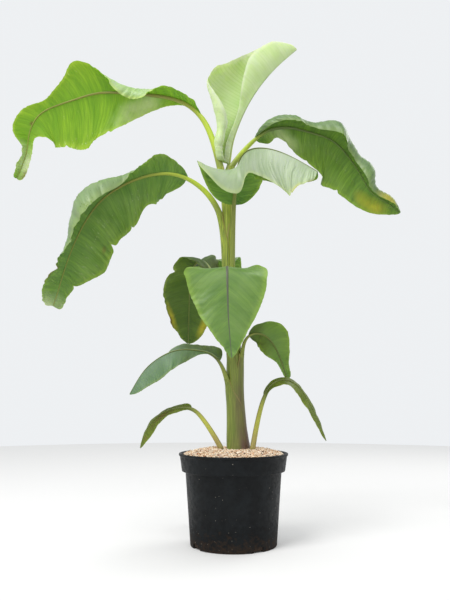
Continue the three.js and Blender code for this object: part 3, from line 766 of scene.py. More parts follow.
@dataclass
class Leaf:
    """A banana leaf: a petiole that runs on as a midrib, with a thin half blade on each side.

    The midrib line starts at root, or against the stem at a height and on a bearing. It is stalk + blade
    long, and climbs at the angles in rise and heads along the angles in turn, in degrees, at equal
    steps. base and tip round off the blade's ends, and sweep leans its veins forward."""

    name: str
    stalk: float
    blade: float
    half: float
    rib: tuple[float, float]
    rise: Sequence[float]
    turn: Sequence[float]
    left: Half
    right: Half
    tone: Tone
    rib_tone: RibTone
    nodes: int = 1                      # lengths that the CAD blade is parted into
    root: Optional[tuple[float, float, float]] = None
    height: float = 0.0
    bearing: float = 0.0
    roll: Sequence[float] = (0,)
    base: float = 0.62
    tip: float = 1.0
    sweep: Sequence[float] = (0.35,)
    slant: float = 0.0                  # how much further forward the drawn veins run
    pleat: float = 0.5                  # height of the folds along the side veins
    frill: float = 1.6                  # height of the margin's small waves
    ragged: float = 0.3                 # how unevenly the margin runs, in mm
    flush: float = 0.5                  # share of the blade by which the rib has the midrib's colour
    tears: Sequence[Tear] = ()
    marks: Sequence[Mark] = ()
    seed: int = 1

    def __post_init__(self) -> None:
        """Places the root and walks the midrib line from it."""
        if self.root is None:
            reach = Stem.radius(self.height) + self.rib[0] + GAP
            bearing = math.radians(self.bearing)
            centre = Stem.centre(self.height)
            self.root = (
                float(centre + reach * math.cos(bearing)), float(reach * math.sin(bearing)), self.height)
        direction, _, _ = self.directions((np.arange(RIB_STEPS) + 0.5) / RIB_STEPS)
        steps = direction * (self.stalk + self.blade) / RIB_STEPS
        self.line = np.concatenate([[self.root], np.array(self.root) + np.cumsum(steps, axis=0)])

    @property
    def on_stem(self) -> bool:
        """Whether the leaf grows from the stem's side or top, and not from the chips beside it."""
        return self.root[2] > GROUND + 50

    def directions(self, share: Array) -> tuple[Array, Array, Array]:
        """The midrib's forward, leftward and upward directions.

        With climb e and heading a, forward is (cos e cos a, cos e sin a, sin e), leftward is the level
        direction (-sin a, cos a, 0) turned about forward by the roll, and upward is forward x leftward.

        Args:
            share: shares of the length from root to tip.

        Returns:
            Three arrays of unit vectors.
        """
        climb, heading, roll = (np.radians(smooth(keys, share)) for keys in (self.rise, self.turn, self.roll))
        forward = points_of(
            np.cos(climb) * np.cos(heading), np.cos(climb) * np.sin(heading), np.sin(climb))
        level = points_of(-np.sin(heading), np.cos(heading), 0 * heading)
        over = np.cross(forward, level)
        leftward = level * np.cos(roll)[..., None] + over * np.sin(roll)[..., None]
        return forward, leftward, np.cross(forward, leftward)

    def station(self, distance: Array) -> tuple[Array, Array, Array, Array]:
        """The midrib's point and three directions at distances from the root, in mm."""
        share = np.clip(distance / (self.stalk + self.blade), 0, 1)
        steps = np.linspace(0, 1, RIB_STEPS + 1)
        point = np.stack([np.interp(share, steps, self.line[:, k]) for k in range(3)], -1)
        return point, *self.directions(share)

    def rib_radius(self, distance: Array) -> Array:
        """The rib's radius: evenly from root to blade along the petiole, then down to the tip by the
        share of the blade that is left, raised to the power 1.8."""
        petiole = self.rib[0] + (self.rib[1] - self.rib[0]) * distance / self.stalk
        left = np.clip(1 - (distance - self.stalk) / self.blade, 0, 1)
        midrib = TIP_RIB + (self.rib[1] - TIP_RIB) * left ** 1.8
        return np.where(distance <= self.stalk, petiole, midrib)

    def half_grid(self, side: Side, rng: np.random.Generator) -> tuple[Array, Array, dict[str, Array]]:
        """A half blade as a grid: rows along the midrib, columns from the rib to the margin.

        From the rib each row steps outward at the angle lift + curl v^power above leftward, v being the
        share of the way to the margin, and forward by the width x sweep x v^1.6. The width at share u of
        the blade is half x (1 - (1 - u)^5)^base x (1 - u^3)^(0.75 tip) x the half's own width and scallop,
        less the tears, and rows lie closer at the blade's two ends. Folds along the side veins, the
        margin's waves and its small frill then lift it along its own normal.

        Args:
            side: which half.
            rng: the source of the irregularity.

        Returns:
            The points, the surface coordinates in metres and the values for the finish.
        """
        half = self.left if side is Side.LEFT else self.right
        rows = int(self.blade / BLADE_STEP)
        even = np.linspace(0.002, 0.998, rows)
        u = even - 0.6 * np.sin(2 * math.pi * even) / (2 * math.pi)
        v = np.linspace(0, 1, BLADE_COLUMNS + 1)
        point, forward, leftward, upward = self.station(self.stalk + u * self.blade)
        lift, curl = np.radians(smooth(half.lift, u)), np.radians(smooth(half.curl, u))
        height, count, phase, scallop = half.wave
        swing = np.sin(2 * math.pi * (count * u + phase))
        full = (1 - (1 - u) ** 5) ** self.base * (1 - u ** 3) ** (0.75 * self.tip)
        along = u * self.blade
        width = self.half * full * smooth(half.width, u) * (1 + scallop * swing)
        width = width + self.ragged * wander(along, RAGGED_WAVE, rng) * ease(0, 0.1, u)
        for tear in self.tears:
            if tear.side is side:
                gap = np.abs(along - tear.share * self.blade) / tear.length
                width = width * (1 - tear.depth * np.exp(-gap ** 1.4))
        width = np.maximum(width, NARROWEST)
        middle = (v[1:] + v[:-1]) / 2
        slope = (lift[:, None] + curl[:, None] * middle ** half.power)[..., None]
        outward = side.value * leftward[:, None] * np.cos(slope) + upward[:, None] * np.sin(slope)
        bend = np.diff(v ** SWEEP_POWER)
        steps = outward * (width / BLADE_COLUMNS)[:, None, None]
        steps = steps + forward[:, None] * ((width * smooth(self.sweep, u))[:, None] * bend)[..., None]
        start = point + outward[:, 0] * (0.55 * self.rib_radius(self.stalk + along))[:, None]
        grid = np.concatenate([start[:, None], start[:, None] + np.cumsum(steps, axis=1)], axis=1)
        across = v * width[:, None]
        drift = along[:, None] + 3 * wander(across, 60, rng)
        pleats = self.pleat * wander(drift, PLEAT_WAVE, rng) * ease(0, 0.3, v) * (1 - 0.4 * v)
        sag = SAG * wander(along, SAG_WAVE, rng)[:, None] * ease(0.1, 1, v)
        ripple = height * (swing * np.minimum(1, full * 1.2))[:, None] * v ** 2
        frill = self.frill * wander(drift, FRILL_WAVE, rng) * v ** 3
        room = ease(0, 18, width)[:, None]
        normal = unit(np.cross(np.gradient(grid, axis=0), np.gradient(grid, axis=1))) * side.value
        grid = grid + normal * ((pleats + sag + frill) * room + ripple)[..., None]
        values = {"across": np.broadcast_to(v, across.shape)}
        # How much of each tint lies at each point; the olive tint's amount is painted shade.
        for tint in Tint:
            amount = np.zeros_like(across)
            for mark in self.marks:
                if mark.side is side and mark.tint is tint:
                    far = ((along[:, None] - mark.share * self.blade) / mark.length) ** 2
                    far = far + ((v - mark.across) * width[:, None] / mark.width) ** 2
                    amount = np.maximum(amount, np.exp(-far))
            values[tint.layer] = amount
        uv = points_of(along[:, None] - self.slant * across, side.value * across) * MM
        return grid, uv, values

    def blade_patch(self) -> Patch:
        """Both half blades as closed plates, thinner at the margin, on each side of the rib."""
        rng = np.random.default_rng(self.seed)
        halves = []
        for side in Side:
            grid, uv, values = self.half_grid(side, rng)
            normal = unit(np.cross(np.gradient(grid, axis=0), np.gradient(grid, axis=1))) * side.value
            depth = (THICKNESS / 2 * (1 - 0.45 * values["across"]))[..., None]
            flip = side is Side.RIGHT
            halves.append(plate(grid + normal * depth, grid - normal * depth, uv, values, flip))
        return join(halves)

    def rib_patch(self) -> Patch:
        """The petiole and midrib as one tube with a channel along its top and a round keel.

        At angle q round the section, q being a quarter turn at the top, the radius is the rib's, less a
        channel of depth g exp(-((q - quarter turn) / 0.55)^2), and the top is flattened where the rib is
        a midrib. The foot runs on below the root, narrowing to a quarter inside the stem or the chips.

        Returns:
            The tube.
        """
        foot = STEM_FOOT if self.on_stem else CHIP_FOOT
        total = self.stalk + self.blade
        rings = np.arange(0, total - RIB_SPACING, RIB_SPACING)
        distance = np.concatenate([np.linspace(-foot, -RIB_SPACING, 8), rings, [total - 2]])
        point, forward, leftward, upward = self.station(np.maximum(distance, 0))
        point = point + forward * np.minimum(distance, 0)[:, None]
        turn = full_turn(RIB_SIDES)
        midrib = ease(self.stalk - 40, self.stalk + 60, distance)[:, None]
        groove = np.exp(-((turn - math.pi / 2) / 0.55) ** 2)
        section = 1 - (0.5 - 0.3 * midrib) * groove
        radius = self.rib_radius(np.maximum(distance, 0)) * (0.25 + 0.75 * ease(-foot, 0, distance))
        rise = np.sin(turn) * section
        rise = np.where(np.sin(turn) > 0, rise * (1 - 0.5 * midrib), rise)
        wide = np.cos(turn) * section
        rings = (
            point[:, None]
            + leftward[:, None] * (radius[:, None] * wide)[..., None]
            + upward[:, None] * (radius[:, None] * rise)[..., None])
        uv = points_of(distance[:, None], radius[:, None] * np.sin(turn / 2) * 3) * MM
        reach = self.stalk + self.flush * self.blade
        lip = np.exp(-((np.abs(turn - math.pi / 2) - 0.75) / 0.22) ** 2)
        values = {
            "along": ease(self.stalk * 0.6, reach, distance)[:, None],
            "above": ease(-0.1, 0.5, np.sin(turn)),
            "foot": 1 - ease(self.stalk * 0.1, self.stalk * 0.5, distance)[:, None],
            "lip": 0.6 * lip * (1 - 0.7 * midrib),
        }
        shape = rings.shape[:2]
        return tube(rings, uv, {name: np.broadcast_to(value, shape) for name, value in values.items()})

    def blade_nodes(self) -> list[str]:
        """The CAD nodes of the leaf's half blades."""
        parts = [""] if self.nodes == 1 else ["_inner", "_outer"]
        return [f"{self.name}_blade_{side.name.lower()}{part}" for side in Side for part in parts]

    def build(self, finishes: "Finishes") -> None:
        """Makes the leaf's blade and rib.

        Args:
            finishes: the plant's materials.
        """
        skins = [finishes.of(skin) for skin in self.tone.value]
        add_piece(f"{self.name}_leaf_blade", self.blade_patch(), skins, self.blade_nodes())
        rib = [finishes.of(self.rib_tone.value)]
        nodes = [f"{self.name}_petiole", f"{self.name}_midrib"]
        add_piece(f"{self.name}_rib", self.rib_patch(), rib, nodes)


# ---- pseudostem -----------------------------------------------------------------------------------


class Stem:
    """The pseudostem's line and girth: leaning, tapering, and flared at the ground."""

    HEIGHTS = (260, 275, 310, 390, 440, 511, 650, 799, 942, 1010, 1080)
    CENTRES = (14.5, 13, 10, 6.5, 5, 3.5, -5, -15, -15.5, -17, -20)
    RADII = (34.5, 32.5, 28, 24, 22.5, 20.5, 19, 17, 16, 19, 26)
    BLUR = np.linspace(-18, 18, 7)      # heights averaged, which rounds the joints between the rings

    @classmethod
    def read(cls, values: Sequence[float], height: Array) -> Array:
        """Values at heights, along straight lines through the rings and averaged over a few heights."""
        spread = np.asarray(height, float)[..., None] + cls.BLUR
        return np.interp(spread, cls.HEIGHTS, values).mean(-1)

    @classmethod
    def centre(cls, height: float) -> float:
        """The stem's x at a height, exactly between its rings."""
        return float(np.interp(height, cls.HEIGHTS, cls.CENTRES))

    @classmethod
    def radius(cls, height: float) -> float:
        """The stem's radius at a height, exactly between its rings."""
        return float(np.interp(height, cls.HEIGHTS, cls.RADII))


@dataclass
class Pseudostem:
    """The stem of a banana plant: leaf sheaths rolled round one another, the lowest leaf's outermost."""

    leaves: Sequence[Leaf]
    sides: int = 72
    step: float = 5.0
    wrap: float = 0.8           # share of a sheath's drop over which it closes round the stem
    longest: float = 330.0      # a sheath's longest drop
    columns: int = 49
    skin: float = 1.2           # a sheath's thickness

    def core_patch(self) -> Patch:
        """The innermost sheaths as one tube, uneven by shallow upright folds.

        The radius at height z and bearing b is the stem's, times 1 + 0.018 x the sum of waves round the
        stem that turn slowly as they rise: 2, 3, 5 and 7 to the round, each as high as 1 over its number.

        Returns:
            The tube, running 8 mm into the chips.
        """
        rng = np.random.default_rng(11)
        z = np.arange(Stem.HEIGHTS[0] - 8, Stem.HEIGHTS[-1] + 2, self.step)
        bearing = full_turn(self.sides)
        twist = z[:, None] / 160
        folds = sum(
            np.sin(k * bearing + rng.uniform(0, 6) + twist * rng.uniform(-1, 1)) / k for k in (2, 3, 5, 7))
        top = 1 - 0.35 * ease(Stem.HEIGHTS[-1] - 14, Stem.HEIGHTS[-1], z)
        radius = (Stem.read(Stem.RADII, z) * top)[:, None] * (1 + 0.018 * folds)
        centre = Stem.read(Stem.CENTRES, z)[:, None]
        rings = points_of(centre + radius * np.cos(bearing), radius * np.sin(bearing), z[:, None])
        uv = points_of(z[:, None], radius * bearing) * MM
        return tube(rings, uv, {"edge": np.zeros(rings.shape[:2])})

    def sheath_patch(self, leaf: Leaf, layer: int) -> Patch:
        """One leaf's sheath: as wide as the petiole at the leaf's root, and wider round the stem below.

        At share t of the drop the half angle grows from the petiole's to a little over a half turn. The
        radius is the stem's, plus the layer's height that dies away down the drop, plus the petiole's
        bulge x (1 - t)^5 sqrt(1 - 0.98 s^2), s being the share of the half angle.

        Args:
            leaf: the leaf.
            layer: how many sheaths lie under this one.

        Returns:
            A closed curved plate.
        """
        x, y, top = leaf.root
        drop = min(top - GROUND + 6, self.longest)
        t = np.linspace(0, 1, int(drop / self.step))
        s = np.linspace(-1, 1, self.columns)
        z = top - drop * t
        girth = Stem.read(Stem.RADII, z)
        reach = math.hypot(x - Stem.centre(top), y)
        bearing = math.atan2(y, x - Stem.centre(top))
        narrow = math.asin(min(leaf.rib[0] / reach, 0.9))
        half = narrow + (math.pi * 1.02 - narrow) * ease(0, self.wrap, t) ** 0.85
        bulge = max(reach + leaf.rib[0] - girth[0], 0.5)
        layered = (0.3 + 0.1 * layer) * (1 - ease(0.75, 1, t)) - 0.8 * ease(0.75, 1, t)
        radius = (girth + layered)[:, None] + bulge * ((1 - t) ** 5)[:, None] * np.sqrt(1 - 0.98 * s ** 2)
        radius = radius * (1 + 0.01 * np.sin(9 * s + layer))
        angle = bearing + s * half[:, None]
        centre = Stem.read(Stem.CENTRES, z)[:, None]

        def skin(depth: float) -> Array:
            """The sheath's surface at a depth under its outside."""
            inner = radius - depth
            return points_of(centre + inner * np.cos(angle), inner * np.sin(angle), z[:, None])

        edge = np.broadcast_to(np.abs(s), radius.shape) * (1 - ease(0.7, 0.9, t))[:, None]
        uv = points_of(z[:, None], radius * angle) * MM
        return plate(skin(0), skin(self.skin), uv, {"edge": edge}, flip=False)

    def build(self, finishes: "Finishes") -> None:
        """Makes the core and a sheath for each leaf that grows from the stem's side or top.

        Args:
            finishes: the plant's materials.
        """
        skin = finishes.of(SheathSkin("leaf_sheath", roughness=0.48, glow=0.06, bump=0.35))
        add_piece("pseudostem_core", self.core_patch(), [skin], ["pseudostem"])
        climbing = [leaf for leaf in self.leaves if leaf.on_stem]
        for layer, leaf in enumerate(sorted(climbing, key=lambda leaf: -leaf.root[2])):
            add_piece(f"{leaf.name}_sheath", self.sheath_patch(leaf, layer), [skin, skin])


# ---- pot and its filling --------------------------------------------------------------------------


@dataclass
class NurseryPot:
    """A moulded nursery pot: tapered wall, stepped band with a rolled lip, and a foot with drain gaps."""

    foot_ring: float = 110      # inner radius of the ring that the pot stands on
    foot: float = 120           # outer radii from the foot up
    shoulder: float = 135
    band: float = 145
    rim: float = 154
    height: float = 250
    band_height: float = 50
    drains: int = 4
    drain_width: float = 32
    drain_height: float = 14
    first_drain: float = -57    # bearing in degrees
    sides: int = 360
    oval: float = 0.4           # how far the wall is out of round

    def profile(self) -> Array:
        """The pot's section from the middle of the underside, up the outside and down the inside.

        Corners are rounded by the curve (1-t)^2 a + 2t(1-t) corner + t^2 b between a point a short way
        before the corner and one after it, and long straights are cut into steps of 4 mm.

        Returns:
            Radius and height pairs.
        """
        step, top = self.height - self.band_height, self.height
        corners = np.array([
            (0.1, 1.5), (self.foot_ring - 4, 1.5), (self.foot_ring, 0), (self.foot - 1.4, 0),
            (self.foot, 1.6), (self.shoulder, step),
            (self.band, step + 0.6), (self.rim - 3, top - 8), (self.rim, top - 6.5),
            (self.rim, top - 1.2), (self.rim - 3.5, top), (self.rim - 6.5, top - 1.5),
            (self.band - 3, top - 9), (self.shoulder - 2.5, step), (self.foot - 2, 13), (0.1, 13)])
        rounding = np.array([0, 1, 0.8, 1, 1, 2.5, 1.4, 2, 1.6, 1.4, 1.8, 1.6, 2, 3, 1, 0])
        points = [corners[:1]]
        t = np.linspace(0, 1, 5)[:, None]
        for before, corner, after, radius in zip(corners[:-2], corners[1:-1], corners[2:], rounding[1:-1]):
            a = corner + unit(before - corner) * radius
            b = corner + unit(after - corner) * radius
            arc = (1 - t) ** 2 * a + 2 * t * (1 - t) * corner + t ** 2 * b
            start = points[-1][-1]
            count = max(int(np.linalg.norm(a - start) / 4), 1)
            points.append(start + (a - start) * np.linspace(0, 1, count + 1)[1:-1, None])
            points.append(arc)
        points.append(corners[-1:])
        return np.concatenate(points)

    def patch(self) -> Patch:
        """The section carried round the axis, raised over the drain gaps at the foot.

        Within half a gap's width of a drain's bearing, points of the foot's ring and of the wall above it
        are lifted to the gap's height. The wall is out of round by 0.4 mm.

        Returns:
            The pot.
        """
        radius, height = self.profile().T
        bearing = full_turn(self.sides)
        spacing = 2 * math.pi / self.drains
        off = (bearing - math.radians(self.first_drain) + spacing / 2) % spacing - spacing / 2
        gap = 1 - ease(self.drain_width / 2 - 1.2, self.drain_width / 2 + 0.6, np.abs(off) * self.foot)
        outside = np.arange(len(radius)) < len(radius) * 0.6
        ring = outside & (radius > self.foot_ring - 1)
        lifted = np.where(ring, self.drain_height, 0)[:, None] * gap
        z = np.maximum(height[:, None], lifted)
        wall = radius > self.foot_ring - 10
        out = radius[:, None] + self.oval * np.sin(2 * bearing + 0.7) * wall[:, None]
        rings = points_of(out * np.cos(bearing), out * np.sin(bearing), z)
        uv = points_of(self.foot * bearing, z) * MM
        shape = tube(rings, uv, {})
        shape.quads = shape.quads[:, ::-1]
        shape.tris = shape.tris[:, ::-1]
        return shape

    def build(self, finishes: "Finishes") -> None:
        """Makes the pot.

        Args:
            finishes: the plant's materials.
        """
        plastic = finishes.of(PotPlastic("moulded_polypropylene", roughness=0.4, specular=0.22, bump=0.1))
        add_piece("nursery_pot", self.patch(), [plastic], ["pot"], crease=40)


@dataclass
class ChipMulch:
    """A layer of wood chips: an uneven bed under some thousands of loose chips."""

    inside: float = 141.5       # the pot's inner radius at the chips
    flat: float = 92            # radius of the level middle
    drop: float = 12            # from there to the pot's wall
    depth: float = 25
    count: int = 6200           # chips laid, before those in the stem or past the wall are left out
    proud: float = 3.5          # how far a chip may stand above the ground level
    shades: Sequence[tuple[str, str, float]] = (
        ("#ecd8bc", "#dabf9e", 0.42), ("#f6ebda", "#e8d7be", 0.36), ("#dcb592", "#c59a74", 0.13),
        ("#b9714f", "#96553a", 0.04), ("#5d4434", "#3c2b23", 0.05))

    def level(self, x: Array, y: Array) -> Array:
        """The bed's height: flat round the stem, lower at the pot's wall, and uneven by 1.5 mm."""
        out = np.hypot(x, y)
        waves = np.sin(x / 17 + 1.3) * np.sin(y / 13 + 0.4) + 0.6 * np.sin(x / 7 - y / 9)
        fall = np.clip((out - self.flat) / (self.inside - self.flat), 0, 1)
        return GROUND - 3 - self.drop * fall + 0.9 * waves

    def bed_patch(self) -> Patch:
        """The bed: rings of points at the level's height, closed by a wall and a flat underside."""
        bearing = full_turn(180)
        out = np.linspace(self.inside, 0.5, 60)
        x, y = (out[:, None] * wave(bearing) for wave in (np.cos, np.sin))
        top = points_of(x, y, self.level(x, y))
        low = points_of(x[:1], y[:1], GROUND - self.depth)
        rings = np.concatenate([low, top])
        return tube(rings, np.zeros((*rings.shape[:2], 2)), {})

    def chips_patch(self) -> Patch:
        """The loose chips: tapered slabs of eight points, laid at random on the bed.

        A slab's corners are (+-length/2, +-width/2, +-thickness/2), 3 to 16 mm long, 1.5 to 7 mm wide and
        0.8 to 2.2 mm thick. The far end's width tapers, and every corner is moved at random by up to a
        quarter. It is tilted a little, one in ten more steeply, and turned to any bearing.

        Returns:
            All the chips as one patch, with a slot for each shade.
        """
        rng = np.random.default_rng(7)
        n = self.count
        out = np.sqrt(rng.uniform(0, 1, n)) * (self.inside - 3)
        bearing = rng.uniform(0, 2 * math.pi, n)
        x, y = out * np.cos(bearing), out * np.sin(bearing)
        size = points_of(
            rng.gamma(4, 1.5, n).clip(3, 16), rng.gamma(5, 0.7, n).clip(1.5, 7), rng.uniform(0.8, 2.2, n))
        corner = np.array([(i, j, k) for k in (-1, 1) for j in (-1, 1) for i in (-1, 1)]) / 2
        local = corner * size[:, None] * rng.uniform(0.75, 1.15, (n, 8, 3))
        local[..., 1] *= np.where(corner[:, 0] > 0, rng.uniform(0.3, 1, (n, 1)), 1)
        tilt = rng.normal(0, 0.3, (n, 1)) * np.where(rng.uniform(0, 1, (n, 1)) < 0.1, 2.5, 1)
        yaw = rng.uniform(0, 2 * math.pi, (n, 1))
        a, b, c = np.moveaxis(local, -1, 0)
        a, c = a * np.cos(tilt) - c * np.sin(tilt), a * np.sin(tilt) + c * np.cos(tilt)
        a, b = a * np.cos(yaw) - b * np.sin(yaw), a * np.sin(yaw) + b * np.cos(yaw)
        lift = rng.uniform(0, 3.4, n)
        place = points_of(x, y, self.level(x, y) + lift)
        points = points_of(a, b, c) + place[:, None]
        points[..., 2] = np.minimum(points[..., 2], GROUND + self.proud)
        far = np.hypot(points[..., 0], points[..., 1]).max(1) < self.inside + 0.5
        clear = np.hypot(x - Stem.CENTRES[0], y) > Stem.RADII[0] - 4
        points = points[far & clear]
        faces = np.array([(0, 2, 3, 1), (4, 5, 7, 6), (0, 1, 5, 4), (2, 6, 7, 3), (0, 4, 6, 2), (1, 3, 7, 5)])
        quads = (np.arange(len(points))[:, None, None] * 8 + faces).reshape(-1, 4)
        shares = [share for _, _, share in self.shades]
        lot = rng.choice(len(self.shades), len(points), p=shares)
        return Patch(points=points.reshape(-1, 3), quads=quads, quad_slots=np.repeat(lot, 6))

    def build(self, finishes: "Finishes") -> None:
        """Makes the bed and the loose chips, and dresses the potting mix.

        Args:
            finishes: the plant's materials.
        """
        bed = finishes.of(Crumb("chip_litter", roughness=0.95, colour="#d0b592", dark="#a5845f", bump=0.8))
        add_piece("chip_bed", self.bed_patch(), [bed], ["wood_chips"])
        woods = [
            finishes.of(Crumb(f"torn_pine_chip_{k}", roughness=0.85, colour=light, dark=dark))
            for k, (light, dark, _) in enumerate(self.shades)]
        add_piece("loose_chips", self.chips_patch(), woods, crease=20)
        soil = Crumb("potting_compost", roughness=0.95, colour="#3b2c20", dark="#1f1711", bump=0.8)
        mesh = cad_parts["potting_mix"].data
        mesh.materials.clear()
        mesh.materials.append(finishes.of(soil))


# ---- the plant ------------------------------------------------------------------------------------


class Finishes:
    """The materials made so far, one for each finish."""

    def __init__(self) -> None:
        """Starts with no material."""
        self.made: dict[str, bpy.types.Material] = {}

    def of(self, finish: Finish) -> bpy.types.Material:
        """The material of a finish, made the first time it is asked for.

        Args:
            finish: the finish.

        Returns:
            Its material.
        """
        if finish.name not in self.made:
            self.made[finish.name] = finish.make()
        return self.made[finish.name]


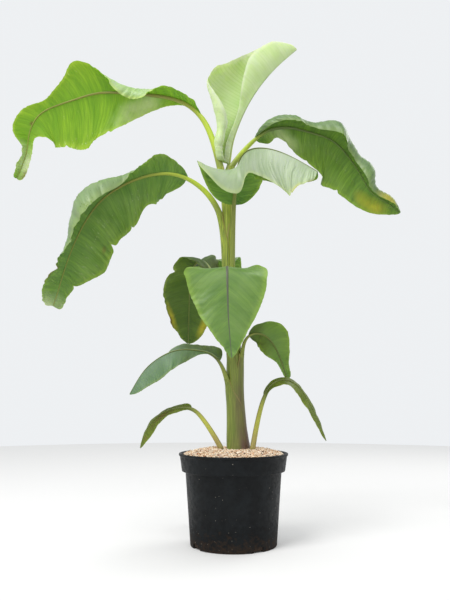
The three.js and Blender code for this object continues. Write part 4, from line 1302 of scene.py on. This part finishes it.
def leaves() -> list[Leaf]:
    """The plant's twelve leaves, from the top down.

    Returns:
        The leaves.
    """
    L, R = Side
    # OLIVE marks are painted shade.
    PALE, OLIVE, YELLOW, BROWN = Tint
    return [
        Leaf(
            "upper_left", root=(-35, -4, 1084), stalk=183, blade=773, half=145, rib=(13, 9), nodes=2,
            rise=(77, 74, 67, 50, 28, 14, 8, 8, 1, -14, -15, -24, -62, -86, -74, -67),
            turn=(175, 175, 174, 173, 172, 172, 172, 172, 175, 180, 180), tip=0.6, sweep=(0.3,),
            left=Half(lift=(30, 25, 25, 28, 32, 42, 55, 62, 62, 60, 60, 60, 50, 40, 40, 40),
                      curl=(-20, -30, -60, -120, -150, -110, -40, -20, -10, -10, -10, -10, -10, -20, -20,
                            -20),
                      width=(0.6, 0.7, 0.85, 0.75, 0.6, 0.58, 0.52, 0.78, 0.54, 0.35, 0.22, 0.42, 0.48,
                             0.22, 0.25, 0.5)),
            right=Half(lift=(-10, -50, -60, -60, -60, -60, -60, -60), curl=(-20, -20, -20, -15, -15, -20),
                       width=(0.03, 0.04, 0.2, 0.4, 0.62, 0.86, 1, 1.12, 1.14, 1, 0.93, 0.8, 0.22, 0.18,
                              0.28, 0.5)),
            tone=Tone.YOUNG, rib_tone=RibTone.BRIGHT, flush=0.2, seed=21, pleat=0.6, ragged=0.7,
            tears=(Tear(R, 0.36, 0.06), Tear(R, 0.47, 0.05), Tear(R, 0.6, 0.04)),
            marks=(Mark(PALE, R, 0.27, 0.6, 80, 50), Mark(PALE, R, 0.93, 0.5, 60, 30),
                   Mark(PALE, L, 0.92, 0.6, 60, 30), Mark(BROWN, R, 0.97, 0.9, 20, 8),
                   Mark(BROWN, L, 0.76, 0.05, 8, 6))),
        Leaf(
            "spear", root=(-16, 10, 1083), stalk=20, blade=440, half=190, rib=(8, 5),
            rise=(80, 82, 72, 67, 61, 55, 49, 43, 40), turn=(0,), roll=(90,), base=0.12, tip=0.8, sweep=(0,),
            left=Half(lift=(20, 20, 20, 16, 5, 0, 0, 0, 0, 0, 0),
                      curl=(300, 298, 275, 190, 118, 105, 78, 38, 5, 0, 0),
                      width=(0.6, 0.69, 0.68, 0.86, 0.98, 0.96, 0.78, 0.68, 0.67, 0.79, 0.8), power=2.5),
            right=Half(lift=(95, 95, 95, 95, 95, 98, 106, 117, 128, 130, 130),
                       curl=(75, 75, 75, 75, 75, 72, 67, 61, 51, 50, 50),
                       width=(0.15, 0.15, 0.12, 0.11, 0.16, 0.31, 0.45, 0.58, 0.64, 0.71, 0.7)),
            tone=Tone.SPEAR, rib_tone=RibTone.PALE, pleat=0.35, frill=0.8, seed=22,
            marks=(Mark(YELLOW, L, 0.98, 0.5, 12, 10),)),
        Leaf(
            "upper_right", root=(-7, -8, 1087), stalk=120, blade=562, half=125, rib=(10, 7), nodes=2,
            rise=(58, 50, 40, 8, -14, -20, -48, -58, -62, -32, -48), turn=(10, 8, 6, 4, 2, 0, 0, 0, 0, 0, 0),
            left=Half(lift=(-40, -60, -60, -60, -60, -55, -50, -45, -40, -40, -30),
                      curl=(-20, -20, -10, -10, -10, -20),
                      width=(1.2, 0.36, 0.71, 0.79, 0.98, 1.1, 0.96, 0.91, 0.85, 0.85, 0.85)),
            right=Half(lift=(50, 60, 60, 60, 64, 70, 72, 72, 70, 70, 66),
                       curl=(-120, -140, -140, -140, -150, -165, -168, -168, -165, -160, -150),
                       width=(1.2, 1.18, 0.95, 0.66, 1.28, 0.92, 0.78, 1.32, 0.78, 1.25, 1.2)),
            tone=Tone.DUSKY, rib_tone=RibTone.FRESH, flush=0.12, seed=23, pleat=0.8,
            tears=(Tear(L, 0.3, 0.06), Tear(L, 0.63, 0.08)),
            marks=(Mark(PALE, L, 0.16, 0.6, 60, 40), Mark(YELLOW, L, 0.84, 0.55, 50, 24),
                   Mark(YELLOW, R, 0.88, 0.9, 40, 16))),
        Leaf(
            "front_right", height=785, bearing=-63, stalk=175, blade=420, half=120, rib=(8, 6), nodes=2,
            rise=(82, 80, 78, 76, 66, 40, 2, -18, -30, -36, -38), turn=(-85, -82, -77, -70, -38, -30, -32),
            base=0.35, tip=0.4, sweep=(0.1, 0.15, 0.25, -0.3, 0, 0.4, 0.8, 0.85, 0.7, 0.5, 0.5),
            left=Half(lift=(30, 30, 20, -20, -60, -70, -70, -65, -60, -55, -50),
                      curl=(-20, -30, -30, -20, -20),
                      width=(0.8, 0.95, 0.85, 0.6, 0.7, 0.8, 0.8, 0.7, 0.6, 0.5, 0.4)),
            right=Half(lift=(30, 25, 15, -64, -75, -74, -70, -68, -60, -55, -50),
                       curl=(-10, -20, -20, -20, -20),
                       width=(0.9, 0.95, 1.12, 1.02, 0.6, 0.72, 0.88, 0.92, 0.98, 0.75, 0.6)),
            tone=Tone.WAXY, rib_tone=RibTone.BROWN, seed=24, pleat=0.9,
            tears=(Tear(L, 0.7, 0.1), Tear(R, 0.8, 0.15), Tear(L, 0.9, 0.15)),
            marks=(Mark(YELLOW, L, 0.9, 1, 30, 8), Mark(YELLOW, R, 0.85, 1, 30, 8),
                   Mark(BROWN, R, 0.97, 1, 8, 6))),
        Leaf(
            "left", height=945, bearing=-160, stalk=143, blade=612, half=130, rib=(10, 7), nodes=2,
            rise=(68, 44, 20, -9, -25, -38, -56, -66, -72, -76, -74),
            turn=(195, 193, 190, 190, 190, 190, 190), base=0.45, tip=0.35, sweep=(0.25,),
            left=Half(lift=(40, 60, 55, 58, 60, 60, 60, 55, 50, 45, 40),
                      curl=(-10, -10, -60, -140, -140, -130, -120, -100, -40, -20, -10),
                      width=(0.35, 0.6, 0.45, 0.66, 1.2, 1.5, 1, 0.6, 0.4, 0.68, 0.7)),
            right=Half(lift=(-30, -60, -70, -70, -60, -50, -30), curl=(-20, -20, -10, -10, -10, -20),
                       width=(1.3, 1, 0.74, 0.97, 0.98, 0.9, 0.95, 1, 0.74, 0.47, 0.5),
                       wave=(10, 3.6, 0.05, 0)),
            tone=Tone.MATURE, rib_tone=RibTone.BRIGHT, flush=0.35, seed=25, pleat=0.9, frill=2.2,
            tears=(Tear(R, 0.34, 0.12), Tear(R, 0.56, 0.16, 7), Tear(R, 0.86, 0.2), Tear(L, 0.82, 0.35, 8)),
            marks=(Mark(PALE, L, 1.02, 0.5, 55, 60), Mark(PALE, R, 1.03, 0.4, 55, 60),
                   Mark(BROWN, L, 0.84, 0.95, 30, 7), Mark(BROWN, R, 0.62, 0.75, 14, 8))),
        Leaf(
            "front", height=560, bearing=-121, stalk=165, blade=355, half=114, rib=(7, 5.5),
            rise=(84, 80, 74, 60, 10, -68, -84, -82, -80, -80), turn=(-98, -95, -92, -90, -80, -65, -62),
            base=0.22, sweep=(0.45,),
            left=Half(lift=(-16, -8, 0, 5, 10, 10), curl=(0, 0, -10, 0),
                      width=(0.4, 0.55, 0.98, 0.97, 0.91, 0.84, 0.77, 0.68, 0.6, 0.52, 0.45)),
            right=Half(lift=(-16, -8, 0, 5, 10, 10), curl=(0, 0, -10, 0),
                       width=(0.4, 0.55, 1.04, 1, 0.92, 0.84, 0.79, 0.73, 0.66, 0.56, 0.5)),
            tone=Tone.FIRM, rib_tone=RibTone.GREEN, flush=0.05, seed=26, pleat=0.4, slant=0.55),
        Leaf(
            "back_left", height=650, bearing=150, stalk=112, blade=388, half=90, rib=(7, 5),
            rise=(78, 70, 58, 35, -40, -85, -88, -88, -88), turn=(134, 130, 128, 128),
            left=Half(lift=(-50, 20, 35, 13, 8, 4, 0), curl=(-40, -60, -40, -30, -20, -20, -20),
                      width=(0.7, 0.5, 0.47, 0.61, 0.7, 1.06, 1.33, 1.32, 1.22, 1.15, 1.05, 1),
                      wave=(10, 2.2, 0.38, 0)),
            right=Half(lift=(0, 40, 40, 24, 4, 0, 0), curl=(-40, -30, -20),
                       width=(0.6, 0.6, 0.68, 0.85, 1.05, 1.2, 1.35)),
            tone=Tone.SHADED, rib_tone=RibTone.BROWN, seed=27, tears=(Tear(L, 0.4, 0.3, 6),),
            # The olive marks at the blade's foot are painted shade.
            marks=(Mark(OLIVE, R, 0.1, 0.6, 50, 50), Mark(OLIVE, L, 0.08, 0.6, 60, 60),
                   Mark(YELLOW, L, 0.73, 0.9, 45, 12), Mark(BROWN, L, 0.76, 0.97, 30, 5),
                   Mark(YELLOW, R, 0.82, 0.85, 35, 12))),
        Leaf(
            "low_left", height=455, bearing=-140, stalk=56, blade=318, half=78, rib=(8, 5.5),
            rise=(76, 56, 14, 0, -24, -40, -58, -62), turn=(190, 190, 192, 194), base=0.4,
            left=Half(lift=(20, -20, -50, -60, -60, -60, -60, -60, -55, -50, -50), curl=(-15,),
                      width=(0.2, 0.12, 0.25, 0.55, 0.7, 0.75, 0.84, 0.88, 0.85, 0.9, 0.9)),
            right=Half(lift=(65, 55, 45, 33, 12, -10, -30, -45, -45, -45, -45), curl=(-20,),
                       width=(1.1, 0.55, 0.4, 0.6, 0.8, 0.8, 0.8, 0.8, 0.8, 0.8, 0.8)),
            tone=Tone.LOW, rib_tone=RibTone.BROWN, flush=0.05, seed=28, pleat=0.25, frill=1,
            # The olive marks at the blade's foot are painted shade.
            marks=(Mark(OLIVE, R, 0.1, 0.5, 110, 90), Mark(OLIVE, L, 0.1, 0.5, 90, 90))),
        Leaf(
            "low_right", height=528, bearing=-38, stalk=58, blade=203, half=70, rib=(7, 4.5),
            rise=(84, 70, 26, -14, -42, -56, -63, -68, -74), turn=(0, 20, 35, 35), base=0.25,
            left=Half(lift=(-40, -45, -50, -40), curl=(-10,),
                      width=(1, 0.85, 0.75, 0.67, 0.6, 0.53, 0.4, 0.27, 0.24, 0.25, 0.3)),
            right=Half(lift=(60, 60, 60, 60, 50), curl=(-40,),
                       width=(0.6, 0.7, 0.88, 0.9, 0.75, 0.62, 0.55, 0.45, 0.4, 0.6, 1)),
            tone=Tone.FIRM, rib_tone=RibTone.BROWN, seed=29, pleat=0.3, frill=1.2,
            # The olive marks at the blade's foot are painted shade.
            marks=(Mark(OLIVE, L, 0.1, 0.6, 90, 60), Mark(OLIVE, R, 0, 0.4, 50, 50))),
        Leaf(
            "base_left", root=(-36, -8, 266), stalk=138, blade=205, half=40, rib=(9, 6.5),
            rise=(62, 58, 54, 44, 4, -12, -32, -54, -68, -78), turn=(175, 178, 180, 182), base=0.4,
            left=Half(lift=(-20, -40, -50, -40), curl=(-20,), width=(0.4, 0.5, 0.8, 0.8)),
            right=Half(lift=(60, 30, 30, 30), curl=(-20,), width=(0.6, 0.3, 0.35, 0.3)),
            tone=Tone.OLIVE, rib_tone=RibTone.DULL, flush=0.05, seed=30, pleat=0.2, frill=0.5,
            marks=(Mark(BROWN, L, 0.5, 0.4, 50, 7), Mark(BROWN, L, 0.84, 0.5, 8, 8))),
        Leaf(
            "base_right", root=(52, -27, 263), stalk=153, blade=290, half=42, rib=(9, 7),
            rise=(80, 79, 77, 73, 62, 30, -18, -50, -62, -65, -69, -69), turn=(5, 2, 0, 0), base=0.4,
            left=Half(lift=(60, 35, 35, 35), curl=(-20,), width=(0.3, 0.3, 0.4, 0.4)),
            right=Half(lift=(-10, -30, -30, -30), curl=(-20,), width=(0.7, 0.7, 0.7, 0.7)),
            tone=Tone.OLIVE, rib_tone=RibTone.DULL, flush=0.05, seed=31, pleat=0.2, frill=0.5),
        Leaf(
            "back", height=625, bearing=96, stalk=190, blade=330, half=46, rib=(7, 5),
            rise=(86, 82, 76, 62, 15, -60, -80, -84, -84, -84), turn=(88, 90, 91, 91), base=0.4,
            left=Half(lift=(5, 0, 0, 0), curl=(-20, -20, -20), width=(1.5, 1.7, 1.5, 1.2)),
            right=Half(lift=(25, 15, 0, 0), curl=(-20, -20, -20), width=(0.8, 0.85, 1, 1)),
            tone=Tone.MATURE, rib_tone=RibTone.GREEN, seed=32),
    ]


# ---- studio ---------------------------------------------------------------------------------------


@dataclass
class Studio:
    """A plain pale floor, soft light from all round with two large soft lamps, and the camera."""

    eye: tuple[float, float, float] = (-0.024, -1.917, 0.411)
    pitch: float = 8.17         # degrees above level
    lens: float = 39.72         # mm, for a frame whose long side is 36 mm
    floor_radius: float = 4.0

    def floor(self) -> None:
        """A round floor just under the pot."""
        bearing = full_turn(96)
        ring = points_of(np.cos(bearing), np.sin(bearing), 0) * self.floor_radius
        mesh = bpy.data.meshes.new("studio_floor")
        mesh.from_pydata(ring.tolist(), [], [list(range(len(ring)))])
        plain = bpy.data.materials.new("pale_floor_paint")
        plain.use_nodes = True
        shader = plain.node_tree.nodes["Principled BSDF"]
        shader.inputs["Base Color"].default_value = linear("#e4e3e1")
        shader.inputs["Roughness"].default_value = 0.9
        mesh.materials.append(plain)
        obj = bpy.data.objects.new("studio_floor", mesh)
        bpy.context.scene.collection.objects.link(obj)

    def light(self) -> None:
        """An even near-white surround, a large soft key light high on the left in front, and a weaker one
        behind on the right."""
        world = bpy.data.worlds.new("white_studio")
        bpy.context.scene.world = world
        world.use_nodes = True
        background = world.node_tree.nodes["Background"]
        background.inputs["Color"].default_value = (0.93, 0.95, 0.97, 1)
        background.inputs["Strength"].default_value = 0.92
        for name, place, size, power in (
            ("key", (-1.3, -1.9, 3.4), 1.6, 90.0),
            ("rim", (1.8, 1.6, 2.6), 1.6, 22.0),
        ):
            lamp = bpy.data.lights.new(name, "AREA")
            lamp.shape = "DISK"
            lamp.size = size
            lamp.energy = power
            obj = bpy.data.objects.new(name, lamp)
            obj.location = place
            aim = np.array((0, 0, 0.75)) - np.array(place)
            obj.rotation_euler = (math.atan2(math.hypot(aim[0], aim[1]), -aim[2]), 0,
                                  math.atan2(aim[1], aim[0]) - math.pi / 2)
            bpy.context.scene.collection.objects.link(obj)
        bpy.context.scene.view_settings.view_transform = "Standard"

    def camera(self) -> None:
        """The camera, low in front of the plant and looking a little up."""
        data = bpy.data.cameras.new("camera")
        data.lens = self.lens
        data.sensor_width = 36
        obj = bpy.data.objects.new("camera", data)
        obj.location = self.eye
        obj.rotation_euler = (math.radians(90 + self.pitch), 0, 0)
        bpy.context.scene.collection.objects.link(obj)
        bpy.context.scene.camera = obj

    def build(self) -> None:
        """Makes the camera, the light and the floor."""
        self.camera()
        self.light()
        self.floor()


def main() -> None:
    """Builds the studio, then the pot, its filling, the stem and the leaves."""
    logging.basicConfig(level=logging.INFO, format="%(name)s: %(message)s")
    Studio().build()
    finishes = Finishes()
    NurseryPot().build(finishes)
    ChipMulch().build(finishes)
    plant = leaves()
    Pseudostem(plant).build(finishes)
    for leaf in plant:
        leaf.build(finishes)


if __name__ == "__main__":
    main()
